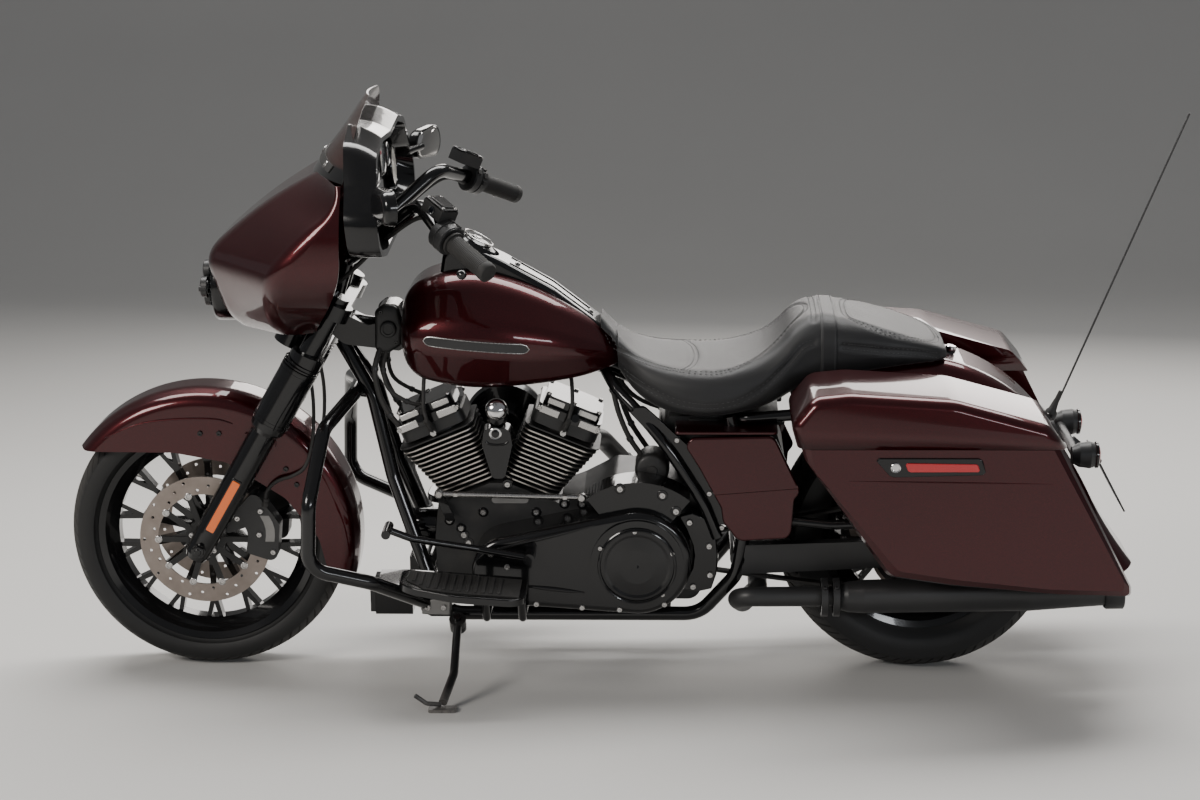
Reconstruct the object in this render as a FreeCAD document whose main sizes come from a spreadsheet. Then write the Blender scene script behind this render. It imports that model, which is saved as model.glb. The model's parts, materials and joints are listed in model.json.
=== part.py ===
import FreeCAD, Part
import Sketcher
import math
import os

# Touring cruiser motorcycle, millimetres.
# Design frame: upright, forward -X, left -Y, up +Z, x = 0 at the front axle, the road at z = 0.
# Every node is placed last by one parking placement: leaned onto the side stand, then moved so
# that the origin is at the middle of the bottom of the whole machine.

V = FreeCAD.Vector
X_AXIS = V(1, 0, 0)
Y_AXIS = V(0, 1, 0)
Z_AXIS = V(0, 0, 1)

# Driving dimensions: name, value, meaning
SIZES = [
    ("lean_angle", 6, "lean onto the side stand, degrees"),
    ("wheelbase", 1625, "front axle to rear axle"),
    ("front_tyre_radius", 319, "front tyre over the crown"),
    ("front_tyre_width", 130, "front tyre section"),
    ("front_rim_radius", 241, "front bead seat"),
    ("rear_tyre_radius", 320, "rear tyre over the crown"),
    ("rear_tyre_width", 180, "rear tyre section"),
    ("rear_rim_radius", 203, "rear bead seat"),
    ("front_crown_radius", 95, "front tread curve"),
    ("rear_crown_radius", 118, "rear tread curve"),
    ("bead_gap", 0.3, "tyre to rim"),
    ("spoke_count", 14, "forked spokes in each wheel"),
    ("spoke_width", 13, "one spoke before its fork"),
    ("spoke_depth", 26, "one spoke along the axle"),
    ("hub_radius", 40, "wheel hub"),
    ("hub_width", 118, "front wheel hub along the axle"),
    ("axle_radius", 12.5, "both axles"),
    ("bore_gap", 0.4, "running clearance on axles and stem"),
    ("disc_radius", 150, "brake discs"),
    ("disc_thickness", 5, "brake discs"),
    ("disc_half_spacing", 74.6, "front discs from the middle"),
    ("disc_hole_count", 30, "drilled holes in one disc"),
    ("rake_angle", 26, "steering axis from the vertical, degrees"),
    ("trail", 170, "steering axis ahead of the front contact"),
    ("fork_angle", 30.2, "fork legs from the vertical, degrees"),
    ("fork_half_spacing", 125, "fork legs from the middle"),
    ("slider_radius", 31, "lower fork leg"),
    ("cover_radius", 42, "fork cover above the slider"),
    ("fork_tube_radius", 24.5, "fork tube in the clamps"),
    ("slider_length", 325, "slider along the leg above the axle"),
    ("lower_clamp_height", 778, "lower clamp on the steering axis"),
    ("upper_clamp_height", 898, "upper clamp on the steering axis"),
    ("clamp_thickness", 34, "both triple clamps"),
    ("stem_radius", 17, "steering stem"),
    ("head_tube_radius", 31, "head tube outside"),
    ("bar_radius", 16, "handlebar tube"),
    ("grip_radius", 20, "grip outside"),
    ("frame_tube_radius", 16, "cradle tubes"),
    ("backbone_radius", 24, "backbone tube"),
    ("cradle_half_width", 130, "lower cradle rails from the middle"),
    ("cradle_height", 163, "lower cradle rails above the road"),
    ("guard_radius", 16, "engine guard tube"),
    ("crank_x", 677, "crank behind the front axle"),
    ("crank_height", 245, "crank above the road"),
    ("cylinder_angle", 22.5, "each cylinder from the vertical, degrees"),
    ("deck_height", 207, "cylinder seat from the crank"),
    ("barrel_radius", 60, "cylinder barrel"),
    ("fin_count", 13, "fins on one cylinder"),
    ("fin_pitch", 11, "fin to fin"),
    ("fin_thickness", 3.2, "one fin"),
    ("fin_half_depth", 84, "fins from the middle across the machine"),
    ("case_half_width", 95, "engine case from the middle"),
    ("primary_face", 205, "outer face of the primary cover from the middle"),
    ("clutch_x", 990, "clutch centre behind the front axle"),
    ("clutch_height", 306, "clutch centre above the road"),
    ("primary_rear_radius", 120, "primary cover about the clutch"),
    ("primary_front_radius", 80, "primary cover about its front sprocket"),
    ("derby_radius", 88, "derby cover"),
    ("tank_half_width", 190, "fuel tank"),
    ("console_half_width", 52, "tank console"),
    ("fuel_door_radius", 46, "round fuel door"),
    ("seat_half_width", 185, "rider's seat"),
    ("seat_gap", 0.5, "seat above what it rests on"),
    ("front_fender_radius", 352, "front fender over the crown"),
    ("front_fender_half_width", 84, "front fender"),
    ("sheet_metal", 3, "fender wall"),
    ("rear_fender_half_width", 116, "rear fender"),
    ("fairing_wall", 5, "fairing wall"),
    ("fairing_half_width", 352, "outer fairing at its widest"),
    ("headlight_radius", 84, "headlight lens"),
    ("headlight_height", 903, "headlight centre above the road"),
    ("headlight_x", 46, "headlight rim behind the front axle"),
    ("shield_thickness", 4, "windshield"),
    ("bag_inner", 212, "inner wall of a saddlebag from the middle"),
    ("bag_outer", 430, "outer wall of a saddlebag from the middle"),
    ("bag_wall", 4, "saddlebag wall"),
    ("bag_seam_height", 640, "seam between bag and lid"),
    ("lid_gap", 1, "lid above the bag's rim"),
    ("muffler_radius", 37, "muffler"),
    ("muffler_half_spacing", 230, "mufflers from the middle"),
    ("pipe_radius", 22, "exhaust pipe"),
    ("swingarm_half_spacing", 142, "swingarm legs from the middle"),
    ("pivot_x", 1213, "swingarm pivot behind the front axle"),
    ("pivot_height", 300, "swingarm pivot above the road"),
    ("side_cover_face", 190, "side cover from the middle"),
    ("board_top", 304, "floorboard pad above the road"),
    ("stand_x", 586, "side stand pivot behind the front axle"),
    ("stand_ahead", 16, "side stand foot ahead of its pivot, so that it can't fold under load"),
    ("stand_pivot_half", 200, "side stand pivot from the middle"),
    ("stand_pivot_height", 168, "side stand pivot above the road"),
    ("stand_foot_half", 417, "side stand foot from the middle"),
    ("stand_pin_radius", 8, "pivot pin of the side stand"),
    ("plate_hole_radius", 3.5, "holes for the number plate"),
    ("plate_hole_pitch", 146, "between the plate's two holes"),
    ("rear_hub_half", 85, "rear wheel hub from the middle"),
    ("rear_disc_middle", 101, "rear disc from the middle"),
    ("pulley_radius", 116, "rear belt pulley"),
    ("belt_gap", 0.5, "belt above its pulleys"),
    ("belt_thickness", 5.5, "drive belt"),
    ("belt_width", 22, "drive belt"),
    ("sprocket_x", 1100, "front belt sprocket behind the front axle"),
    ("sprocket_radius", 31.5, "front belt sprocket"),
    ("rear_axle_nut_radius", 19, "nuts on the rear axle"),
    ("seat_rail_radius", 13, "tubes under the seat"),
    ("bag_rail_radius", 11, "tubes that carry the saddlebags"),
    ("pivot_radius", 16, "swingarm pivot tube"),
    ("seat_fit", 0.3, "small seating clearance"),
]

doc = FreeCAD.newDocument("TouringCruiser")
sheet = doc.addObject("Spreadsheet::Sheet", "Sizes")
for row, (alias, number, meaning) in enumerate(SIZES, start=1):
    sheet.set("A%d" % row, alias)
    sheet.set("B%d" % row, str(number))
    sheet.set("C%d" % row, meaning)
    sheet.setAlias("B%d" % row, alias)
doc.recompute()


class Dimensions:
    """The sheet's cells by name."""

    def __getattr__(self, name):
        return float(sheet.get(name))


d = Dimensions()
nodes = []


def tangent(degrees):
    return math.tan(math.radians(degrees))


def polar(degrees, radius=1.0):
    """A point in the X-Z plane: 0 degrees is to the rear, 90 degrees is up."""
    angle = math.radians(degrees)
    return V(radius * math.cos(angle), 0, radius * math.sin(angle))


# Places worked out from the driving dimensions
front_axle = V(0, 0, d.front_tyre_radius)
rear_axle = V(d.wheelbase, 0, d.rear_tyre_radius)
steer_up = V(math.sin(math.radians(d.rake_angle)), 0, math.cos(math.radians(d.rake_angle)))
fork_up = V(math.sin(math.radians(d.fork_angle)), 0, math.cos(math.radians(d.fork_angle)))


def on_steering_axis(height):
    return V(-d.trail + height * tangent(d.rake_angle), 0, height)


def on_fork(height, side):
    reach = (height - front_axle.z) / fork_up.z
    return front_axle + fork_up * reach + Y_AXIS * (side * d.fork_half_spacing)


def rounded_wire(points, closed=True):
    """Straight runs joined by tangent arcs; each row is a point and its corner radius."""
    edges = []
    count = len(points)
    ends = []
    for index in range(count):
        here, radius = points[index]
        if (not closed and index in (0, count - 1)) or radius <= 0:
            ends.append((here, here, None))
            continue
        before = points[index - 1][0] - here
        after = points[(index + 1) % count][0] - here
        reach_before = before.Length
        reach_after = after.Length
        before.normalize()
        after.normalize()
        turn = math.acos(max(-1.0, min(1.0, before.dot(after))))
        cut = radius / math.tan(turn / 2)
        cut = min(cut, 0.49 * reach_before, 0.49 * reach_after)
        real_radius = cut * math.tan(turn / 2)
        start = here + before * cut
        finish = here + after * cut
        bisector = (before + after).normalize()
        centre = here + bisector * (real_radius / math.sin(turn / 2))
        middle = centre - bisector * real_radius
        ends.append((start, finish, middle))
    for index in range(count):
        start, finish, middle = ends[index]
        if middle is not None:
            edges.append(Part.Arc(start, middle, finish).toShape())
        if index == count - 1 and not closed:
            break
        onward = ends[(index + 1) % count][0]
        if (onward - finish).Length > 1e-6:
            edges.append(Part.LineSegment(finish, onward).toShape())
    return Part.Wire(edges)


def side_outline(rows, y=0.0):
    """Outline in a plane of constant Y; rows of x, z, corner radius."""
    return rounded_wire([(V(x, y, z), radius) for x, z, radius in rows])


def slab(rows, y_from, y_to):
    """A plate with a side outline between two planes of constant Y."""
    face = Part.Face(side_outline(rows, y_from))
    return face.extrude(V(0, y_to - y_from, 0))


def plan_outline(rows, z):
    """Outline in a plane of constant Z; rows of x, y, corner radius."""
    return rounded_wire([(V(x, y, z), radius) for x, y, radius in rows])


def cross_outline(rows, x):
    """Outline in a plane of constant X; rows of y, z, corner radius."""
    return rounded_wire([(V(x, y, z), radius) for y, z, radius in rows])


def loft(wires):
    """A smooth skin through sections, of low degree so that it doesn't swing past them."""
    return Part.makeLoft(wires, True, False, False, 2)


def turned(rows, base, axis):
    """A solid turned about an axis; rows of distance along the axis, radius."""
    axis = V(axis).normalize()
    side = axis.cross(Y_AXIS if abs(axis.y) < 0.9 else X_AXIS).normalize()
    points = [base + axis * along + side * radius for along, radius in rows]
    points.append(points[0])
    face = Part.Face(Part.makePolygon(points))
    return face.revolve(base, axis, 360)


def tube(route, radius, bend=60.0, bore=0.0):
    """A round tube along straight runs with tangent bends."""
    path = rounded_wire([(V(*point), bend) for point in route], closed=False)
    start = V(*route[0])
    heading = (V(*route[1]) - start).normalize()
    ring = Part.Wire(Part.makeCircle(radius, start, heading))
    pipe = path.makePipeShell([ring], True, False)
    if bore > 0:
        inner = Part.Wire(Part.makeCircle(bore, start, heading))
        pipe = pipe.cut(path.makePipeShell([inner], True, False))
    return pipe


def rod(start, finish, radius):
    start = V(*start)
    finish = V(*finish)
    return Part.makeCylinder(radius, (finish - start).Length, start, finish - start)


def block(x_from, x_to, y_from, y_to, z_from, z_to):
    return Part.makeBox(x_to - x_from, y_to - y_from, z_to - z_from, V(x_from, y_from, z_from))


def fused(pieces):
    whole = pieces[0].multiFuse(pieces[1:]) if len(pieces) > 1 else pieces[0]
    return whole.removeSplitter()


def mirrored(shape):
    return shape.mirror(V(0, 0, 0), Y_AXIS)


def both_sides(shape):
    return [shape, mirrored(shape)]


def rounded(shape, radius, pick):
    """Fillet the edges that pick chooses."""
    edges = [edge for edge in shape.Edges if pick(edge)]
    return shape.makeFillet(radius, edges)


def feature(label, shape):
    """A node whose shape is made by the functions above."""
    item = doc.addObject("Part::Feature", label)
    item.Label = label
    item.Shape = shape
    nodes.append((item, FreeCAD.Placement(item.Placement)))
    return item


def body_node(label, placement):
    body = doc.addObject("PartDesign::Body", label)
    body.Label = label
    body.Placement = placement
    nodes.append((body, placement))
    return body


def plane_of(body, role):
    return next(item for item in body.Origin.OriginFeatures if item.Role == role)


def sketch_on(body, role, name):
    sketch = body.newObject("Sketcher::SketchObject", name)
    sketch.AttachmentSupport = [(plane_of(body, role), "")]
    sketch.MapMode = "FlatFace"
    return sketch


def worked_out(formula):
    """The present value of an expression of the sheet."""
    return float(sheet.evalExpression(str(formula)))


def bound_polygon(sketch, rows, closed=True):
    """Lines through points; rows of horizontal and vertical place, each an expression of the sheet."""
    spots = [V(worked_out(across), worked_out(along), 0) for across, along in rows]
    count = len(rows) if closed else len(rows) - 1
    first = sketch.GeometryCount
    for index in range(count):
        sketch.addGeometry(Part.LineSegment(spots[index], spots[(index + 1) % len(rows)]), False)
    for index in range(count if closed else count - 1):
        onward = first + (index + 1) % count
        sketch.addConstraint(Sketcher.Constraint("Coincident", first + index, 2, onward, 1))
    for index, place in enumerate(rows):
        line, end = (first + index, 1) if index < count else (first + count - 1, 2)
        for kind, formula in zip(("DistanceX", "DistanceY"), place):
            value = worked_out(formula)
            number = sketch.addConstraint(Sketcher.Constraint(kind, -1, 1, line, end, value))
            sketch.setExpression("Constraints[%d]" % number, str(formula))


def revolution(body, sketch):
    """Turn a sketch once around its own horizontal axis."""
    item = body.newObject("PartDesign::Revolution", sketch.Name + "Turned")
    item.Profile = sketch
    item.ReferenceAxis = (sketch, ["H_Axis"])
    item.Angle = 360
    return item


def pad(body, sketch, length):
    """Raise a sketch to both sides by an expression of the sheet."""
    item = body.newObject("PartDesign::Pad", sketch.Name + "Raised")
    item.Profile = sketch
    item.setExpression("Length", str(length))
    item.Midplane = True
    return item


def polar_copies(body, source, count):
    """Copies of a feature around the axle."""
    item = body.newObject("PartDesign::PolarPattern", source.Name + "Around")
    item.Originals = [source]
    item.Axis = (plane_of(body, "Y_Axis"), [""])
    item.Angle = 360
    item.setExpression("Occurrences", str(count))
    body.Tip = item
    return item


# Wheels

def tyre(label, place, outer, width, rim, crown):
    """A tyre turned about the axle: crown arc, shoulders and beads; all sizes are cell names."""
    body = body_node(label, place)
    section = sketch_on(body, "YZ_Plane", label + "Section")
    half = "Sizes.%s / 2" % width
    bead = "Sizes.%s + Sizes.bead_gap" % rim
    shoulder = "(%s) * 0.97" % half
    middle = "Sizes.%s - Sizes.%s" % (outer, crown)
    edge = "%s + sqrt(Sizes.%s ^ 2 - (%s) ^ 2)" % (middle, crown, shoulder)
    # side wall below the tread: share of the half width, share of the way from bead to crown
    seat = "Sizes.%s * 0.33" % width
    wall = [(shoulder, edge)]
    for share, rise in ((1, 0.42), (0.84, 0.2)):
        wall.append(("(%s) * %s" % (half, share), lifted(bead, outer, rise)))
    wall += [("(%s) + 2.2" % seat, "%s + 10.5" % bead), ("(%s) - 1.7" % seat, bead)]
    rows = [("-(%s)" % across, up) for across, up in wall] + wall[::-1]
    bound_polygon(section, rows, closed=False)
    close_with_arc(section, middle, "Sizes.%s" % crown, len(rows) - 1)
    revolution(body, section)
    return body


def close_with_arc(sketch, centre, radius, line_count):
    """Close an open run of lines with an arc about a point on the vertical axis."""
    first = sketch.getPoint(0, 1)
    last = sketch.getPoint(line_count - 1, 2)
    height = worked_out(centre)
    circle = Part.Circle(V(0, height, 0), Z_AXIS, worked_out(radius))
    start = math.atan2(last.y - height, last.x)
    finish = math.atan2(first.y - height, first.x)
    index = sketch.addGeometry(Part.ArcOfCircle(circle, start, finish), False)
    sketch.addConstraint(Sketcher.Constraint("Coincident", index, 1, line_count - 1, 2))
    sketch.addConstraint(Sketcher.Constraint("Coincident", index, 2, 0, 1))
    number = sketch.addConstraint(Sketcher.Constraint("DistanceY", -1, 1, index, 3, height))
    sketch.setExpression("Constraints[%d]" % number, centre)


def lifted(bead, outer, rise):
    return "(%s) + (Sizes.%s - (%s)) * %s" % (bead, outer, bead, rise)


def cast_wheel(label, place, rim, width, hub_half):
    """Hub, forked spokes and rim, in the wheel's own frame."""
    body = body_node(label, place)
    hub = sketch_on(body, "YZ_Plane", label + "Hub")
    bore = "Sizes.axle_radius + Sizes.bore_gap"
    bound_polygon(hub, [
        ("-(%s)" % hub_half, bore),
        ("-(%s)" % hub_half, "Sizes.hub_radius - 6"),
        ("-(%s) + 8" % hub_half, "Sizes.hub_radius"),
        ("(%s) - 8" % hub_half, "Sizes.hub_radius"),
        ("%s" % hub_half, "Sizes.hub_radius - 6"),
        ("%s" % hub_half, bore),
    ])
    revolution(body, hub)
    spoke = sketch_on(body, "XZ_Plane", label + "Spoke")
    tip = "Sizes.%s - 20" % rim
    fork = "Sizes.%s - 82" % rim
    half = "Sizes.spoke_width / 2"
    bound_polygon(spoke, [
        ("-(%s) - 2" % half, "Sizes.hub_radius - 8"),
        ("(%s) + 2" % half, "Sizes.hub_radius - 8"),
        (half, fork),
        ("(%s) + 15" % half, tip),
        ("(%s) + 5" % half, tip),
        (0, "(%s) + 20" % fork),
        ("-(%s) - 5" % half, tip),
        ("-(%s) - 15" % half, tip),
        ("-(%s)" % half, fork),
    ])
    arm = pad(body, spoke, "Sizes.spoke_depth")
    polar_copies(body, arm, "Sizes.spoke_count")
    ring = sketch_on(body, "YZ_Plane", label + "Rim")
    seat = "Sizes.%s * 0.33" % width
    bound_polygon(ring, [
        ("-16", "Sizes.%s - 30" % rim),
        ("16", "Sizes.%s - 30" % rim),
        ("(%s) - 6" % seat, "Sizes.%s - 12" % rim),
        ("(%s) + 3" % seat, "Sizes.%s - 4" % rim),
        ("(%s) + 9" % seat, "Sizes.%s + 10" % rim),
        ("(%s) + 3" % seat, "Sizes.%s + 10" % rim),
        ("(%s) - 1" % seat, "Sizes.%s" % rim),
        ("-(%s) + 1" % seat, "Sizes.%s" % rim),
        ("-(%s) - 3" % seat, "Sizes.%s + 10" % rim),
        ("-(%s) - 9" % seat, "Sizes.%s + 10" % rim),
        ("-(%s) - 3" % seat, "Sizes.%s - 4" % rim),
        ("-(%s) + 6" % seat, "Sizes.%s - 12" % rim),
    ])
    revolution(body, ring)
    return body


def at(point):
    return FreeCAD.Placement(point, FreeCAD.Rotation())


def brake_disc(middle):
    """A drilled disc with its carrier arms and hub flange, about the wheel's own axle."""
    ring = Part.makeCylinder(d.disc_radius, d.disc_thickness, V(0, middle - d.disc_thickness / 2, 0), Y_AXIS)
    inner = Part.makeCylinder(108, 40, V(0, middle - 20, 0), Y_AXIS)
    ring = ring.cut(inner)
    holes = []
    for index in range(int(d.disc_hole_count)):
        spot = polar(index * 360 / d.disc_hole_count, (140, 129, 118)[index % 3])
        holes.append(Part.makeCylinder(3.6, 40, spot + V(0, middle - 20, 0), Y_AXIS))
    return ring.cut(Part.makeCompound(holes))


def disc_carrier(middle, hub_end):
    """Ten arms from a hub flange to the disc."""
    side = 1 if middle > 0 else -1
    inner_face = hub_end
    outer_face = abs(middle) + 1
    depth = outer_face - inner_face
    start = V(0, side * inner_face, 0)
    flange = Part.makeCylinder(46, depth, start, Y_AXIS * side)
    flange = flange.cut(Part.makeCylinder(d.axle_radius + d.bore_gap, depth, start, Y_AXIS * side))
    arms = []
    for index in range(10):
        arm = Part.makeBox(76, 5, 13, V(38, -2.5, -6.5))
        arm.rotate(V(0, 0, 0), Y_AXIS, index * 36)
        arm.translate(V(0, middle, 0))
        arms.append(arm)
    return [flange] + arms


def front_discs():
    pieces = []
    for side in (-1, 1):
        middle = side * d.disc_half_spacing
        pieces.append(brake_disc(middle).fuse(disc_carrier(middle, d.hub_width / 2)))
    shape = Part.makeCompound([piece.removeSplitter() for piece in pieces])
    shape.translate(front_axle)
    return feature("front_brake_discs", shape)


def rear_disc_and_pulley():
    """Disc on the right and toothed-belt pulley on the left of the rear hub."""
    middle = d.rear_disc_middle
    disc = brake_disc(middle).fuse(disc_carrier(middle, d.rear_hub_half))
    start = V(0, -(d.rear_tyre_width / 2 + 34), 0)
    pulley = Part.makeCylinder(d.pulley_radius, 26, start, Y_AXIS)
    pulley = pulley.cut(Part.makeCylinder(d.pulley_radius - 20, 9, start, Y_AXIS))
    pulley = pulley.fuse(Part.makeCylinder(52, 39, start, Y_AXIS))
    pulley = pulley.cut(Part.makeCylinder(d.axle_radius + d.bore_gap, 60, start, Y_AXIS))
    pulley = pulley.cut(Part.makeCompound([
        Part.makeCylinder(13, 40, start + polar(index * 60, 72), Y_AXIS) for index in range(6)
    ]))
    shape = Part.makeCompound([disc.removeSplitter(), pulley.removeSplitter()])
    shape.translate(rear_axle)
    return feature("rear_disc_and_pulley", shape)


def fork_reach(height):
    """Distance along a leg from the axle to the middle plane of a clamp."""
    return (on_steering_axis(height) - front_axle).dot(steer_up) / fork_up.dot(steer_up)


def forks():
    """Two fork legs: axle lug, slider, cover and the tube through the clamps."""
    legs = []
    for side in (-1, 1):
        base = front_axle + Y_AXIS * (side * d.fork_half_spacing)
        lower = fork_reach(d.lower_clamp_height)
        top = fork_reach(d.upper_clamp_height) + d.clamp_thickness
        leg = turned([
            (-30, 0), (-30, d.slider_radius - 8), (-18, d.slider_radius - 3),
            (40, d.slider_radius), (d.slider_length - 12, d.slider_radius + 1),
            (d.slider_length, d.cover_radius - 2), (d.slider_length + 14, d.cover_radius),
            (lower - 22, d.cover_radius), (lower - 22, d.fork_tube_radius),
            (top, d.fork_tube_radius), (top, 0),
        ], base, fork_up)
        bore = Part.makeCylinder(d.axle_radius + d.seat_fit, 90, base - Y_AXIS * 45, Y_AXIS)
        legs.append(leg.cut(bore))
    return feature("fork_legs", Part.makeCompound(legs + [front_axle_rod()]))


def front_axle_rod():
    """Axle through both fork legs with a collar at each hub face and a nut outside."""
    half = d.fork_half_spacing + d.slider_radius
    pin = Part.makeCylinder(d.axle_radius, 2 * half, front_axle - Y_AXIS * half, Y_AXIS)
    hub_face = d.hub_width / 2 + 18
    leg_face = d.fork_half_spacing - d.slider_radius - d.seat_fit
    pieces = [pin]
    for side in (-1, 1):
        start = front_axle + Y_AXIS * (side * (hub_face + d.bore_gap))
        pieces.append(Part.makeCylinder(20, leg_face - hub_face - d.bore_gap, start, Y_AXIS * side))
        nut = front_axle + Y_AXIS * (side * (half - 1))
        pieces.append(Part.makeCylinder(16, 9, nut, Y_AXIS * side))
    return fused(pieces)


def clamp_plate(height):
    """One triple clamp, square to the steering axis, with bosses round both legs."""
    centre = on_steering_axis(height)
    half = steer_up * (d.clamp_thickness / 2)
    boss = 38
    pieces = [Part.makeCylinder(boss, d.clamp_thickness, centre - half, steer_up)]
    spots = [on_fork(height, side) for side in (-1, 1)]
    for spot in spots:
        leg = spot - steer_up * (spot - centre).dot(steer_up)
        pieces.append(Part.makeCylinder(boss, d.clamp_thickness, leg - half, steer_up))
    across = steer_up.cross(Y_AXIS).normalize()
    leg = spots[0] - steer_up * (spots[0] - centre).dot(steer_up)
    reach = (leg - centre).dot(across)
    width = d.fork_half_spacing
    corners = [
        centre + across * (reach - boss * 0.8) - Y_AXIS * width,
        centre + across * (reach - boss * 0.8) + Y_AXIS * width,
        centre + across * (reach + boss * 0.7) + Y_AXIS * width,
        centre + across * (reach + boss * 0.7) - Y_AXIS * width,
    ]
    face = Part.Face(Part.makePolygon([corner - half for corner in corners + corners[:1]]))
    pieces.append(face.extrude(half * 2))
    return pieces


def triple_clamps():
    """Both clamps, the stem between them and the two handlebar posts."""
    low = on_steering_axis(d.lower_clamp_height)
    high = on_steering_axis(d.upper_clamp_height)
    pieces = clamp_plate(d.lower_clamp_height) + clamp_plate(d.upper_clamp_height)
    pieces.append(rod(low, high, d.stem_radius))
    post_top = bar_middle()
    for side in (-1, 1):
        foot = on_fork(d.upper_clamp_height, side) - Y_AXIS * (side * 75) - X_AXIS * 20 - Z_AXIS * 34
        pieces.append(rod(foot, V(post_top.x, side * 45, post_top.z), 13))
    bores = []
    for side in (-1, 1):
        base = front_axle + Y_AXIS * (side * d.fork_half_spacing)
        bores.append(Part.makeCylinder(d.fork_tube_radius + d.seat_fit, 760, base, fork_up))
    shape = fused(pieces).cut(Part.makeCompound(bores + [bar_tube(d.bar_radius + d.seat_fit)]))
    return feature("triple_clamps", shape)


def bar_middle():
    return V(352, 0, 972)


# Handlebar route on the right: x, y, z
BAR_ROUTE = [(352, 92, 972), (440, 150, 1050), (528, 205, 1122), (583, 320, 1084), (688, 428, 1022)]


def bar_tube(radius):
    left = [(x, -y, z) for x, y, z in reversed(BAR_ROUTE)]
    return tube(left + BAR_ROUTE, radius, 55)


def handlebar():
    return feature("handlebar", bar_tube(d.bar_radius))


def grip_line():
    inner = V(*BAR_ROUTE[-2])
    outer = V(*BAR_ROUTE[-1])
    heading = (outer - inner).normalize()
    return outer, heading


def grips():
    """Rubber sleeves over the bar ends."""
    outer, heading = grip_line()
    start = outer - heading * 118
    sleeve = Part.makeCylinder(d.grip_radius, 122, start, heading)
    flange = Part.makeCylinder(d.grip_radius + 5, 5, start, heading)
    core = Part.makeCylinder(d.bar_radius + d.seat_fit / 3, 119.3, start - heading, heading)
    grip = sleeve.fuse(flange).removeSplitter().cut(core)
    return feature("grips", Part.makeCompound(both_sides(grip)))


def hand_controls():
    """Switch housings, master cylinders and levers on both sides."""
    outer, heading = grip_line()
    start = outer - heading * 162
    housing = Part.makeCylinder(31, 40, start, heading)
    reservoir = Part.makeBox(62, 46, 26, V(-38, -23, 26))
    turn = FreeCAD.Rotation(X_AXIS, heading)
    reservoir.Placement = FreeCAD.Placement(start - heading * 18, turn)
    clamp = Part.makeCylinder(25, 26, start - heading * 28, heading)
    perch = start - heading * 14 + V(-30, 8, 4)
    lever_route = [
        tuple(start - heading * 14 + V(-18, 0, 0)),
        tuple(perch + V(-20, 22, 0)),
        tuple(perch + heading * 90 + V(-24, 14, -4)),
        tuple(perch + heading * 172 + V(-18, 14, -6)),
    ]
    lever = tube(lever_route, 6.5, 30)
    whole = housing.fuse([reservoir, clamp, lever]).removeSplitter()
    whole = biggest(whole.cut(bar_tube(d.bar_radius + d.seat_fit / 3)))
    return feature("hand_controls", Part.makeCompound(both_sides(whole)))


def mirrors():
    """Oval mirrors on short stalks from the inner fairing."""
    outline = cross_outline([(-62, -30, 26), (-62, 34, 32), (62, 40, 38), (62, -36, 34)], 0)
    head = Part.Face(outline).extrude(V(26, 0, 0))
    head = rounded(head, 14, lambda edge: abs(edge.CenterOfMass.x) < 1e-3)
    head.rotate(V(0, 0, 0), Z_AXIS, -22)
    head.translate(V(462, 402, 1152))
    stalk = rod((474, 362, 1150), (440, 300, 1146), 9)
    whole = head.fuse(stalk).removeSplitter().cut(dash_solid())
    return feature("mirrors", Part.makeCompound(both_sides(biggest(whole))))


# Outer fairing sections from the bottom up: height, nose x, side x, half width as a share,
# nose half width, shoulder set-back
FAIRING = [
    (822, 96, 285, 0.46, 60, 60),
    (868, 68, 310, 0.66, 88, 80),
    (930, 52, 345, 0.86, 100, 100),
    (985, 45, 366, 0.97, 105, 120),
    (1050, 102, 372, 1.0, 110, 110),
    (1120, 196, 374, 0.97, 120, 90),
    (1180, 300, 376, 0.90, 140, 45),
]


def fairing_solid(inset):
    sections = []
    for height, nose, side, share, nose_half, back in FAIRING:
        half = d.fairing_half_width * share - inset
        front = nose + inset
        sections.append(plan_outline([
            (side + 2 * inset, -half, 0),
            (min(front + back + 60, side - 12), -half, 60),
            (front, -nose_half + inset / 2, 90),
            (front, nose_half - inset / 2, 90),
            (min(front + back + 60, side - 12), half, 60),
            (side + 2 * inset, half, 0),
        ], height))
    return loft(sections)


def fairing():
    """Painted outer shell with a round headlight opening."""
    shell = fairing_solid(0).cut(fairing_solid(d.fairing_wall))
    eye = Part.makeCylinder(d.headlight_radius + d.seat_fit, 120, V(0, 0, d.headlight_height), X_AXIS)
    shell = shell.cut(eye).cut(steering_room())
    return feature("fairing", biggest(shell))


def biggest(shape):
    return max(shape.Solids, key=lambda item: item.Volume)


def steering_room():
    """Room round the fork legs inside the fairing's lower edge."""
    pieces = []
    for side in (-1, 1):
        base = front_axle + Y_AXIS * (side * d.fork_half_spacing)
        pieces.append(Part.makeCylinder(d.cover_radius + 8, 700, base, fork_up))
    return Part.makeCompound(pieces)


# Inner fairing rim seen from the rear: y, z, corner radius
DASH = [
    (0, 1276, 60), (150, 1290, 60), (262, 1262, 60), (312, 1180, 60),
    (368, 1110, 50), (350, 1030, 50), (250, 1014, 40), (0, 1022, 60),
]


# How far the top falls towards the rider
DASH_DROP = 34.0


def dash_outline(x, inset, drop=0.0):
    """Outline drawn in all round, with its top lowered by drop."""
    rows = []
    centre = 1150
    for y, z, radius in DASH:
        fall = inset + drop * max(0.0, z - centre) / (DASH[0][1] - centre)
        rows.append((y - inset if y else 0, z + (inset if z < centre else -fall), radius))
    rows += [(-y, z, radius) for y, z, radius in reversed(rows[1:-1])]
    return cross_outline(rows, x)


def tipped(shape):
    """Lean the inner fairing back a little."""
    shape.rotate(V(383, 0, 1150), Y_AXIS, -4)
    return shape


def dash_solid():
    """Outside of the inner fairing, filled."""
    return tipped(dash_body())


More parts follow.
